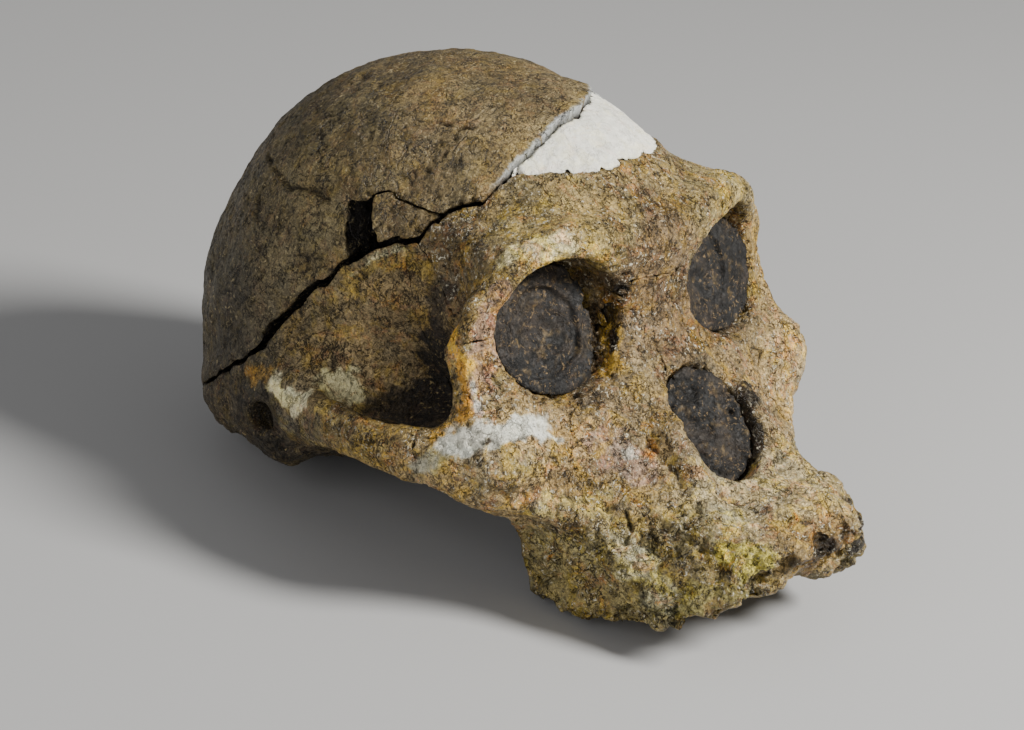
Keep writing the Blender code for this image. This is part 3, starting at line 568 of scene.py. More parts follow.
def halved(rows, quads):
    """Each quad split in four, with new vertices at the middles of its edges and at its centre;
    the rows hold each vertex's place and whatever else goes with it."""
    ends = np.sort(np.stack([quads, np.roll(quads, -1, axis=1)], -1), axis=-1).reshape(-1, 2)
    codes, middle = np.unique(ends[:, 0]*len(rows) + ends[:, 1], return_inverse=True)
    middle = middle.reshape(quads.shape) + len(rows)
    centre = np.arange(len(quads)) + len(rows) + len(codes)
    edges = (rows[codes//len(rows)] + rows[codes % len(rows)])/2
    new = np.concatenate([rows, edges, rows[quads].mean(axis=1)])
    split = [np.stack([quads[:, k], middle[:, k], centre, middle[:, k - 1]], 1) for k in range(4)]
    return new, np.concatenate(split)


def slope(field, points, value, step=0.15):
    """Gradient of a field at points, by steps along each axis."""
    return np.stack([(field(points + step*np.eye(3, dtype=np.float32)[k]) - value)/step
                     for k in range(3)], -1)


def read_grid(grid, low, cell, points):
    """Field on a grid, read between its knots, and its gradient there."""
    place = (points - low)/cell
    knot = np.clip(np.floor(place).astype(np.int32), 0, np.array(grid.shape) - 2)
    part = np.moveaxis(place - knot, -1, 0)
    start = (knot[:, 0]*grid.shape[1] + knot[:, 1])*grid.shape[2] + knot[:, 2]
    values = grid.ravel()
    corner = {at: values[start + (at[0]*grid.shape[1] + at[1])*grid.shape[2] + at[2]]
              for at in np.ndindex(2, 2, 2)}
    value, steep = 0, []
    for axis in range(3):
        first, second = [k for k in range(3) if k != axis]
        ends = [0, 0]
        for at, height in corner.items():
            weight = np.where(at[first], part[first], 1 - part[first])
            weight = weight*np.where(at[second], part[second], 1 - part[second])
            ends[at[axis]] = ends[at[axis]] + weight*height
        value = ends[0] + part[axis]*(ends[1] - ends[0])
        steep.append((ends[1] - ends[0])/cell)
    return value, np.stack(steep, -1)


def draw_on(vertices, b, slope_b, c, slope_c, both):
    """Vertices moved on to the surface that they are nearest: bone, seam, or both at an edge."""
    bb = np.maximum((slope_b**2).sum(-1), 0.05)
    cc = np.maximum((slope_c**2).sum(-1), 0.05)
    bc = (slope_b*slope_c).sum(-1)
    det = np.maximum(bb*cc - bc**2, 1e-3)
    share_b, share_c = (b*cc - c*bc)/det, (c*bb - b*bc)/det
    to_both = -share_b[:, None]*slope_b - share_c[:, None]*slope_c
    near = (np.abs(b) < both) & (np.abs(c) < both) & (det > 0.2*bb*cc)
    to_one = np.where((b > c)[:, None], -(b/bb)[:, None]*slope_b, -(c/cc)[:, None]*slope_c)
    move = np.where(near[:, None], to_both, to_one)
    far = np.linalg.norm(move, axis=-1, keepdims=True)
    return vertices + move*np.minimum(1, LONGEST_MOVE/np.maximum(far, 1e-9))


def off_path(points, path):
    """Distance to a path of points in space."""
    return rod(points, [(*point, 0) for point in path])


Crack = namedtuple("Crack", "path width depth")
CRACKS = [                # on the right side, each along the bone's surface
    Crack([(-15.9, -32.1, 60.6), (-12.3, -36.2, 57.3), (-3.7, -40.3, 54.5), (-1.6, -41.3, 53.4),
           (10.6, -42.5, 52.2), (15.6, -43.4, 49.4)], 0.45, 0.9),
    Crack([(-12.3, -36.2, 57.3), (-15, -40, 51), (-13, -43, 44)], 0.35, 0.7),
    Crack([(-20, -28, 64), (-27, -22, 66), (-38, -18, 61)], 0.35, 0.6),
    Crack([(36, -24.4, 65.3), (40.7, -24.3, 63), (43.1, -26.5, 59.7)], 0.45, 0.8),
    Crack([(40.7, -24.3, 63), (44.6, -22.8, 61.8), (45.9, -18.9, 63.5)], 0.4, 0.7),
    Crack([(41.5, -29.2, 58.1), (40.5, -31, 56.8), (38.2, -33.9, 54.5)], 0.4, 0.7),
    Crack([(34.3, -3.8, 73.5), (39.5, -4.5, 71.2), (43.8, -3.9, 69.3), (50.2, -2.9, 66)], 0.35, 0.6),
    Crack([(93.7, -14.4, -24.8), (99.7, -11, -28.3), (105.5, -9.6, -31.1), (110.1, -6, -33.3),
           (112.6, -2.1, -35.2)], 0.8, 1.5),
    Crack([(60.2, -21.9, 49.9), (58.4, -29.4, 43), (60.4, -35, 38)], 0.5, 0.7),
    Crack([(66, -57.1, -3.9), (71.8, -50.1, -5), (73.6, -43.6, -10.6), (72.2, -37.5, -8.5)], 0.35, 0.7),
    Crack([(80, -34, -18), (84, -31, -27), (83, -33, -38), (86, -33, -50)], 0.4, 0.8),
    Crack([(93, -27, -26), (97, -24, -34), (96, -26, -44), (99, -25, -53)], 0.35, 0.7),
    Crack([(84, -21, -14), (90, -19, -21), (93.7, -14.4, -24.8)], 0.35, 0.6),
    Crack([(-30, -44, 18), (-20, -46, 24), (-8, -46.5, 34)], 0.35, 0.6),
    Crack([(0, -46, 22), (8, -46, 14), (14, -45, 8)], 0.35, 0.6),
    Crack([(20, 20, 73), (12, 32, 66), (-4, 40, 56), (-16, 44, 44)], 0.4, 0.8),
    Crack([(12, 32, 66), (24, 37, 60), (34, 36, 54)], 0.35, 0.6),
    Crack([(-40, 14, 62), (-50, 24, 46), (-54, 28, 28)], 0.4, 0.7),
    Crack([(84, 31, -18), (90, 28, -30), (88, 30, -42)], 0.4, 0.8),
]

Anchor = namedtuple("Anchor", "place reach colour")
ANCHORS = [               # y is the distance from the middle line
    Anchor((12, 0, 79), 26, "#746442"), Anchor((0, 34, 62), 20, "#756846"),
    Anchor((-30, 10, 70), 22, "#655940"), Anchor((-55, 0, 30), 24, "#494239"),
    Anchor((14, 44, 44), 16, "#7d6e4a"), Anchor((-30, 44, 32), 20, "#574f3c"),
    Anchor((40, 26, 60), 18, "#83714d"), Anchor((62, 18, 46), 14, "#968255"),
    Anchor((70, 26, 36), 10, "#ac975e"), Anchor((80, 0, 20), 12, "#816a48"),
    Anchor((62, 50, 14), 10, "#a58b53"), Anchor((66, 48, -10), 11, "#b49b6b"),
    Anchor((76, 34, -16), 10, "#a88c5c"), Anchor((84, 16, -8), 10, "#a08a60"),
    Anchor((100, 8, -28), 10, "#ceb987"), Anchor((74, 33, -40), 10, "#928353"),
    Anchor((98, 24, -42), 10, "#918154"), Anchor((116, 0, -40), 8, "#937849"),
    Anchor((20, 46, 20), 14, "#95815b"), Anchor((40, 30, 22), 14, "#786545"),
    Anchor((30, 61, -3), 8, "#907a48"), Anchor((-52, 0, -8), 20, "#4f4434"),
    Anchor((-30, 34, -8), 16, "#5a4f3b"), Anchor((0, 0, -16), 22, "#55493a"),
    Anchor((72, 0, -40), 14, "#65563c"), Anchor((44, 14, -20), 12, "#4a3f2d"),
    Anchor((66, 30, 15), 11, "#62523b"), Anchor((90, 0, -14), 10, "#5c4f3c"),
]

Blot = namedtuple("Blot", "path reach colour strength calm", defaults=[0])
BLOTS = [
    # painted shade: these three blots darken the fossa behind the right orbit, where it lies in shadow
    Blot([(40, -38, 13), (35, -34, 6), (30, -30, 0)], 8, "#15100a", 0.97),     # painted shade, deepest in the fossa
    Blot([(27, -28, -5), (20, -37, -3)], 9, "#2a2118", 0.85),
    Blot([(44, -41, 26), (42, -39, 18)], 5, "#2c2217", 0.8),
    Blot([(72.5, -14, 20), (72.7, -14.6, 10), (72.6, -18, 5)], 3.4, "#b08c30", 0.9),   # inner wall
    # painted shade of a pit in the orbit's inner wall
    Blot([(72.6, -14.4, 14), (72.7, -16, 7.5)], 1.7, "#17110a", 0.95),
    Blot([(73.6, -14.9, 22), (71, -18, 27), (67.5, -24, 30.7)], 5, "#3a2c1b", 0.75),   # painted shade under the brow, on the orbit's roof
    Blot([(86.8, 12, -10.4), (88, 10.5, -20), (86, 5, -27)], 5, "#1d160f", 0.9),       # painted shade on the nose's inner wall
    Blot([(66, 44.5, 17), (67.5, 43.6, 9)], 4, "#98813f", 0.6),
    # painted shade in the fossa behind the left orbit
    Blot([(44, 40, 2), (47, 42, 10), (43, 43, -6)], 9, "#16110b", 0.9),
    Blot([(15.1, -48, 5.3), (13, -49.5, 5.6)], 5.2, "#e8ddaa", 1, 0.6),        # plug of plaster
    Blot([(-9, -55, 1), (-14, -52, -6)], 10, "#2c261e", 0.6),                  # round the ear
    Blot([(0, -57, -3), (8, -59, -4), (15, -59.5, -2)], 4.5, "#76705f", 0.6),
    Blot([(8, -56.4, 3.4), (3, -56, 5), (-2, -54.5, 7)], 3.4, "#fff3c6", 1, 0.6),   # root of the arch
    Blot([(-8, -53, 10), (-12, -53, 8)], 2.4, "#a8823c", 0.8),
    Blot([(16, -59, 4), (30, -62, 0), (44, -61, -4)], 2.2, "#c4ab66", 0.75),
    Blot([(60, -57, -2), (54, -59, -3)], 2.6, "#d9a83f", 0.8),
    Blot([(68.7, -43, 35), (72.8, -38.5, 36.2), (76.7, -32.5, 37.6)], 3.6, "#efe0a8", 0.8),  # painted highlight along the brow
    Blot([(77, -29.3, -10.4), (83.4, -24, -18.7)], 5, "#ab8f80", 0.6),
    Blot([(64, -52, 8), (66, -50, 18), (69, -46, 28)], 4, "#b08a78", 0.6),
    Blot([(80, -33, -24), (74, -42, -24), (66, -50, -20)], 3.4, "#d4c071", 0.6),
    Blot([(103, -26.7, -47), (94, -29, -50)], 4, "#b4a862", 0.6),
    Blot([(56, -53, 18.5), (58.7, -53.6, 15.6), (60.5, -54.2, 11.2)], 2.7, "#f7c64a", 1, 0.3),
    Blot([(59.5, -54.2, 11.2), (60.4, -55, 4.8), (61, -55.5, 1.5)], 2.2, "#dda23a", 0.95, 0.3),
    Blot([(62.6, -53, 8), (63.4, -54, 2)], 1.0, "#e0ddcf", 0.8),
    Blot([(19.5, -46, 30), (27.4, -44.3, 35.2), (33.8, -42.3, 35.7), (39.8, -40.5, 32.9)], 2.4,
         "#a58a3c", 0.7),
    Blot([(19.5, -46.3, 31.5), (27.4, -44.6, 37), (36, -41.5, 37.5)], 1, "#d8cfa0", 0.8),
    Blot([(-4, -44.5, 44.8), (-0.9, -46.5, 38.3), (1.6, -47.6, 29.2)], 2, "#8c7d5b", 0.6),
    Blot([(85.5, -32.5, -36), (90.7, -31.5, -47.5)], 4.6, "#e2d8a8", 0.7),
    Blot([(82.4, -32.6, -30.9), (84, -33, -36)], 3, "#b9ab7c", 0.6),
    Blot([(111.7, -19, -40.3), (107.7, -23, -39.4)], 5, "#d2c355", 0.85),
    Blot([(104, -24.5, -44), (108, -22, -48)], 3, "#a89a4e", 0.6),
    Blot([(83.5, -17.9, -14.2), (84, -20, -16)], 1.8, "#a8732c", 0.8),
    Blot([(80, -27, -14), (82, -23, -15)], 1.6, "#d9d6c4", 0.7),
    Blot([(-20.5, -46.5, 28.9), (-28.2, -46.5, 16.4)], 7, "#40382c", 0.5),
    Blot([(-24, -30, 62), (-40, -24, 52), (-50, -20, 36)], 9, "#5a4d3b", 0.5),
    Blot([(119, -1.5, -42), (118, -2, -46)], 5, "#211910", 0.95),              # painted shade in the opened sockets, here and in the next two
    Blot([(111, 19.5, -38), (112, 19, -44)], 5, "#211910", 0.9),
    Blot([(117, 9, -42), (113.5, -11.5, -45)], 3, "#2e2416", 0.8),
    Blot([(53.6, -62, -9), (60, -59.3, -6)], 2.8, "#cfc8a8", 0.6, 0.4),
    Blot([(60, -59, -5.5), (65.2, -56.5, -3), (70.5, -49, -3), (71.5, -42, -4.5)], 4.2, "#fffbe6", 1, 1),
    Blot([(71.5, -42, -4.5), (73, -38, -8)], 2.1, "#fffbe6", 1, 1),
    Blot([(46, -62, -9), (54, -62, -9)], 1.8, "#c3bfa6", 0.8, 0.7),
    Blot([(66, 50, -8), (70, 42, -12)], 6, "#bfac87", 0.5),
    Blot([(8, 52, 6), (0, 52, 3)], 4, "#a3905a", 0.6),
    Blot([(20, 46, 30), (34, 42, 35)], 3, "#94703c", 0.5),
    Blot([(90, 30, -44), (100, 27, -46)], 5, "#b5a972", 0.5),
]
PLASTER = "#faf8ea"
GLUE = "#c3c6c4"          # line of glue along the plaster
BROKEN_FACE_SHADE = "#19130c"        # painted shade on the broken faces, which lie in the dark between the bones
ROCK_BLACK, ROCK_BROWN, ROCK_GRIT = "#0a0806", "#261f18", "#7d673c"


def linear(code):
    """Linear colour from an sRGB hex code."""
    parts = np.array([int(code[k:k + 2], 16) for k in (1, 3, 5)])/255
    return np.where(parts <= 0.04045, parts/12.92, ((parts + 0.055)/1.055)**2.4)


def weathering(points):
    """Height in mm that weathering adds to the bone, and how far a point lies down a crack."""
    rough = smooth_step(40, 72, points[:, 0])*smooth_step(46, 20, points[:, 2])     # the face
    lower = smooth_step(-24, -40, points[:, 2])                                     # torn margins
    rear = smooth_step(24, -10, points[:, 0])*smooth_step(6, -8, points[:, 2])      # base and nape
    height = 0.42*BROAD.rough(points, 13, 3, 0.5) + 0.9*rear*TORN.rough(points, 7, 3, 0.6)
    height += (0.5*lower + 0.25*rough)*TORN.rough(points + 7, 9, 3, 0.6)
    height += (0.2 + 0.2*rough + 0.3*lower + 0.2*rear)*FINE.rough(points, 4.2, 4, 0.62)
    pits = smooth_step(0.45, 0.95, STAIN.rough(points, 2.6, 3, 0.6))
    height -= (0.25 + 0.45*rough + 0.4*lower)*pits
    bent = warp(points, 0.9, 4)
    flake = TORN.rough(bent, 6.5, 3, 0.6)          # crust lost in flakes with steep edges
    height -= (0.15 + 0.2*rough + 0.45*lower)*(smooth_step(0.1, 0.2, flake) + smooth_step(0.5, 0.6, flake))
    down = 0.55*(rough + lower + rear).clip(0, 1)*smooth_step(0.07, 0.02, np.abs(flake - 0.15))
    fold = np.abs(WARP.rough(bent + 60, 9, 4, 0.6))        # crevices where the noise changes sign
    down = np.maximum(down, smooth_step(0.045, 0.01, fold)*smooth_step(-0.1, 0.35, BROAD.at(points, 17)))
    height -= 0.3*down
    for crack in CRACKS:
        box = np.array(crack.path)
        close = ((points > box.min(0) - 6) & (points < box.max(0) + 6)).all(-1)
        if not close.any():
            continue
        far = off_path(bent[close], crack.path)
        width = 1.3*crack.width*(1 + 0.5*FINE.at(points[close], 3))
        depth = smooth_step(width + 0.35, width*0.3, far)
        height[close] -= 1.2*crack.depth*depth
        down[close] = np.maximum(down[close], depth)
    return height, down


def painted(points, down, inside):
    """Colour of the bone: anchors mixed by nearness, then stains, painted shade, a painted highlight
    and plaster, with ragged edges, then painted shade down the cracks and on the broken faces."""
    moved = mirrored(points) + 5*np.stack([STAIN.rough(points + 31*k, 14, 3) for k in range(3)], -1)
    total, weights = np.zeros(points.shape), 1e-9
    for anchor in ANCHORS:
        far = ((moved - anchor.place)**2).sum(-1)/anchor.reach**2
        weight = np.exp(-far)[:, None] + 1e-7/(1 + far[:, None])
        total += weight*linear(anchor.colour)
        weights = weights + weight
    colour = total/weights
    mottle = 1 + 0.28*STAIN.rough(points, 9, 4, 0.6)[:, None]
    colour = colour*mottle*(1 + 0.1*BROAD.at(points, 6)[:, None]*np.array([0.6, 0, -1.2]))
    ragged, worn = warp(points, 1.1, 5), np.ones((len(points), 1))
    for blot in BLOTS:
        edge = 1 + 0.55*STAIN.rough(points, 3.4, 3, 0.7)
        mask = smooth_step(1.0, 0.7, off_path(ragged, blot.path)/blot.reach/edge)*blot.strength
        colour += mask[:, None]*(linear(blot.colour)*(0.6 + 0.4*mottle) - colour)
        worn = worn*(1 - blot.calm*mask[:, None])
    glued = np.flatnonzero((points[:, 0] > 36) & (points[:, 2] > 42))
    if len(glued):
        near = points[glued]
        edge = np.abs(seams(near)["above"])/(0.75 + 0.6*STAIN.rough(near, 4, 2))
        share = (smooth_step(1.0, 0.7, edge)*smooth_step(47, 53, near[:, 2]))[:, None]
        colour[glued] += share*(linear(GLUE) - colour[glued])
        worn[glued] *= 1 - 0.8*share
    # painted shade down the cracks, crevices and flake edges
    colour *= (1 - 0.8*np.clip(down, 0, 1))[:, None]
    # painted shade on the broken faces
    colour += inside[:, None]*(linear(BROKEN_FACE_SHADE) - colour)
    return np.concatenate([colour, worn], 1)


LEAN = math.radians(20.4)                # how far the face is turned up as the skull lies
TURNED = np.array([[math.cos(LEAN), 0, -math.sin(LEAN)], [0, 1, 0],
                   [math.sin(LEAN), 0, math.cos(LEAN)]])
SHIFTED = np.array([-28.5, 0, 29.8])
FLAT = 0.06                              # mm over the floor, where what lies on it is worn flat


def lay_down(points):
    """Skull's own millimetres to metres in the shared frame, worn flat where it lies."""
    placed = points @ TURNED.T + SHIFTED
    placed[:, 2] = np.maximum(placed[:, 2], FLAT)
    return placed*MM


def new_object(context, name, vertices, faces, material, colours=None):
    """Object at the origin with smooth faces, made from arrays of points and corners."""
    mesh = bpy.data.meshes.new(name)
    mesh.vertices.add(len(vertices))
    mesh.vertices.foreach_set("co", np.asarray(vertices, np.float32).ravel())
    corners = faces.shape[1]
    mesh.loops.add(faces.size)
    mesh.loops.foreach_set("vertex_index", faces.astype(np.int32).ravel())
    mesh.polygons.add(len(faces))
    mesh.polygons.foreach_set("loop_start", np.arange(0, faces.size, corners, dtype=np.int32))
    mesh.update(calc_edges=True)
    mesh.polygons.foreach_set("use_smooth", np.ones(len(faces), bool))
    if colours is not None:
        tint = mesh.attributes.new("Tint", "FLOAT_COLOR", "POINT")
        tint.data.foreach_set("color", np.clip(colours, 0, 1).astype(np.float32).ravel())
    mesh.materials.append(material)
    thing = bpy.data.objects.new(name, mesh)
    context.collection.objects.link(thing)
    return thing


def bone_piece(name, relief):
    """One bone: net over the part of the field inside its seams, drawn on to its faces, split,
    drawn on again, and moved out and in by weathering; the broken faces are worn too."""
    cell = CELLS.get(name, CELL)
    bone, lines = sampled(cell)
    limit = bone_region(name, lines)
    used = np.argwhere(np.maximum(bone, limit) < 0)
    box = tuple(slice(a, b) for a, b in zip(used.min(0) - 2, used.max(0) + 3))
    low = np.array(GRID_LOW) + cell*(used.min(0) - 2)
    limit = np.ascontiguousarray(limit[box])
    vertices, quads = nets(np.maximum(bone[box], limit), low, cell)
    vertices, quads = biggest_part(vertices, quads)
    for _ in range(2):
        b = skull_field(vertices)
        slope_b = slope(skull_field, vertices, b)
        vertices = draw_on(vertices, b, slope_b, *read_grid(limit, low, cell, vertices), cell*0.6)
    rows, quads = halved(np.concatenate([vertices, slope_b], 1), quads)
    vertices, slope_b = rows[:, :3], rows[:, 3:]
    c, slope_c = read_grid(limit, low, cell, vertices)
    vertices = draw_on(vertices, skull_field(vertices), slope_b, c, slope_c, cell*0.2)
    inside = smooth_step(-0.1, -1.2, skull_field(vertices))
    height, down = weathering(vertices)
    height = height + PROUD.get(name, 0)*smooth_step(*PROUD_RISE, vertices[:, 0])
    out = slope_b/np.maximum(np.linalg.norm(slope_b, axis=-1, keepdims=True), 0.3)
    across = slope_c/np.maximum(np.linalg.norm(slope_c, axis=-1, keepdims=True), 0.3)
    moved = vertices + (relief*(1 - inside)*height)[:, None]*out
    broken = 0.35*smooth_step(-0.3, 0.6, FINE.rough(vertices, 2.2, 3, 0.7))
    moved -= (inside*broken)[:, None]*across
    return lay_down(moved), quads, painted(vertices, down, inside)


def off_ground_middle(local, points, seed):
    """Distance from the middle of the rock's ground face, uneven, for the rings on it."""
    flat = np.hypot(local[..., 1]*1.05 + 2, local[..., 2] + 1)
    return flat + 1.6*WARP.rough(points + seed, 9, 3)


def rock_piece(mass, front, tilt, rings, open_side, gap, seed):
    """Rock in a hollow: the hollow's own ellipsoid drawn in, closed in front by a worn dish that
    leans away from the nose, has faint rings where it was ground back, and may stop short of the
    hollow's inner wall."""
    turn = axes(mass.turn)
    half = np.array(mass.half)
    room = mass._replace(half=tuple(half - gap))

    def field(points):
        local = (points - np.array(mass.centre)) @ turn
        uneven = FINE.rough(points + seed, 4.5, 4, 0.62)
        far = off_ground_middle(local, points, seed)
        ring = (0.14*np.cos(far*3.1) + 0.18*np.cos(far*1.7 + 1))*smooth_step(2, 7, far)
        ring = ring*smooth_step(-0.6, 0.3, BROAD.at(points + seed, 8))
        step = 0.9*smooth_step(9.5, 10.3, far) - 1.4*smooth_step(9, 0, far)
        dish = front*half[0] + rings*(ring + step) - tilt*local[..., 1] - 0.05*local[..., 2]
        dish = dish + (0.35 + 0.9*(1 - rings))*uneven
        solid = np.maximum(ellipsoid(points, room), (local[..., 0] - dish)*0.8)
        return np.maximum(solid, local[..., 1] - open_side + 2*uneven + 0.02*local[..., 2]**2)

    reach = np.abs(turn)@half + 2
    lines = [np.arange(middle - far, middle + far, ROCK_CELL) for middle, far in zip(mass.centre, reach)]
    grid = field(np.stack(np.meshgrid(*lines, indexing="ij"), -1))
    vertices, quads = nets(grid, [line[0] for line in lines], ROCK_CELL)
    vertices, quads = biggest_part(vertices, quads)
    for _ in range(2):
        value = field(vertices)
        steep = slope(field, vertices, value)
        move = (value/np.maximum((steep**2).sum(-1), 0.1))[:, None]*steep
        vertices = vertices - np.clip(move, -0.4, 0.4)
    return vertices, quads


def rock_colours(points, mass, rings, seed):
    """Dark matrix in brown and black patches, with paler grit and ground rings."""
    local = (points - np.array(mass.centre)) @ axes(mass.turn)
    far = off_ground_middle(local, points, seed)
    ring = rings*(np.cos(far*3.1) + np.cos(far*5.3 + 1))*smooth_step(2, 7, far)
    brown = smooth_step(-0.25, 0.5, STAIN.rough(points + seed, 8, 4, 0.65))[:, None]
    base = linear(ROCK_BLACK) + brown*(linear(ROCK_BROWN) - linear(ROCK_BLACK))
    grit = smooth_step(0.55, 1.0, FINE.rough(points + seed, 1.8, 3, 0.7))[:, None]
    colour = (base + grit*(linear(ROCK_GRIT) - base)*0.3)*(1 + 0.35*ring[:, None])
    return np.concatenate([colour, np.ones_like(grit)], 1)


def rgba(code):
    """Linear colour and full alpha from an sRGB hex code."""
    return (*linear(code), 1.0)


def node(tree, kind, inputs=(), out=0, **settings):
    """Shader node with its settings, its inputs linked or set, by number or by name; gives the
    output that is asked for."""
    made = tree.nodes.new("ShaderNode" + kind)
    for key, value in settings.items():
        setattr(made, key, value)
    for socket, value in inputs.items() if isinstance(inputs, dict) else enumerate(inputs):
        if isinstance(value, bpy.types.NodeSocket):
            tree.links.new(value, made.inputs[socket])
        else:
            made.inputs[socket].default_value = value
    return made if out is None else made.outputs[out]


# Noises: coordinates, mm from knot to knot, detail, roughness, distortion
NOISES = {
    "mottle": ("place", 3.4, 5, 0.68, 0.6),      # stains some mm across
    "fine": ("place", 1.0, 4, 0.72, 0.5),        # grain of the weathered surface
    "dust": ("place", 0.42, 2, 0.6, 0),          # pores of 0.1 mm, drawn as coarse as they need to show
    "ochre": ("place", 6.5, 5, 0.7, 0.7), "pink": ("place", 5.1, 5, 0.7, 0.7),
    "grey": ("place", 7.9, 5, 0.7, 0.7), "rust": ("place", 4.3, 5, 0.7, 0.7),
    "crest": ("long", 4.2, 5, 0.62, 0),          # creases where this noise crosses its middle
    "ripple": ("long", 1.9, 3, 0.62, 0),         # finer ones
    "pores": ("bent", 0.8, 2, 0.5, 0),           # openings of canals, their dark painted as shade
    "glints_and_grit": ("bent", 0.9, 3, 0.65, 0),         # pale specks: painted glints on bone, grit on rock
    "cracked": ("place", 9, 3, 0.6, 0), "crested": ("place", 7, 3, 0.6, 0),   # where these show
    "rippled": ("place", 4.6, 3, 0.6, 0), "glints_and_grit_shown": ("place", 5, 2, 0.6, 0),
}
# Range of a noise over which a pattern comes in
MASKS = {"pores": (0.65, 0.72), "glints_and_grit": (0.57, 0.64), "glints_and_grit_shown": (0.42, 0.58),
         "cracked": (0.48, 0.58), "crested": (0.4, 0.52), "rippled": (0.46, 0.58)}
# Patches of other hues: range of their noise, and what they do to red, green and blue
HUES = {"ochre": (0.5, 0.6, (1.2, 1.1, 0.5)), "pink": (0.53, 0.62, (1.12, 0.86, 0.82)),
        "grey": (0.54, 0.64, (0.76, 0.82, 0.9)), "rust": (0.62, 0.7, (1.3, 0.82, 0.4))}
# Creases: noise, half width as a share of its height, where they show, strength; their dark is painted
# shade
CREASES = [("crest", 0.016, "crested", 0.9), ("ripple", 0.03, "rippled", 0.8)]
BEND, BEND_SIZE = 2.6, 2.4                       # mm that lines wander, and over how much
STRETCH = (1.0, 1.0, 0.6)                        # creases run up and down more than along

Finish = namedtuple("Finish", "name dark pale contrast mottle hues crackle crack folds relief"
                              " rough_low rough_high")
# dark is the colour of the hairlines and of the painted shade in creases and pores; pale is that of the
# painted glints on bone and of the grit on rock
FINISHES = {              # crackle is mm from hairline to hairline and relief mm of half the bump
    # Bone turned to mineral: brown, dull, with a low sheen where its crust is rubbed smooth
    "vault_bone": Finish("Fossil bone, mineralised, satin", "#1d160f", "#c4b184", 1.15, 0.7, 0.5, 8.0,
                         0.35, 0.95, 0.5, 0.3, 0.62),
    # The same, washed paler and hardened with wax: glints on ridges, from its gloss and painted as pale
    # specks, with painted shade in the creases between them
    "face_bone": Finish("Fossil bone, bleached, waxy", "#21180f", "#f6edd2", 1.2, 1.2, 1.0, 4.6,
                        0.3, 1.0, 0.6, 0.2, 0.5),
    # Bone with cave earth rubbed in: darker and blotched with rust
    "base_bone": Finish("Fossil bone, stained, satin", "#15100a", "#b39d6e", 1.2, 0.9, 0.85, 6.0,
                        0.3, 0.9, 0.55, 0.3, 0.7),
    # Trowelled plaster: even, white and chalky
    "plaster": Finish("Casting plaster, aged, matte", "#8d8672", "#f8f6ee", 0.2, 0.3, 0.2, 12.0,
                      0.1, 0.1, 0.10, 0.7, 0.95),
    # Sand and earth set hard in lime, ground back: near black, with pale grit
    "rock": Finish("Cave breccia, ground, dull", "#0b0907", "#8a7350", 0.95, 0.9, 0.5, 9.0,
                   0.0, 0.3, 0.2, 0.55, 0.85),
}


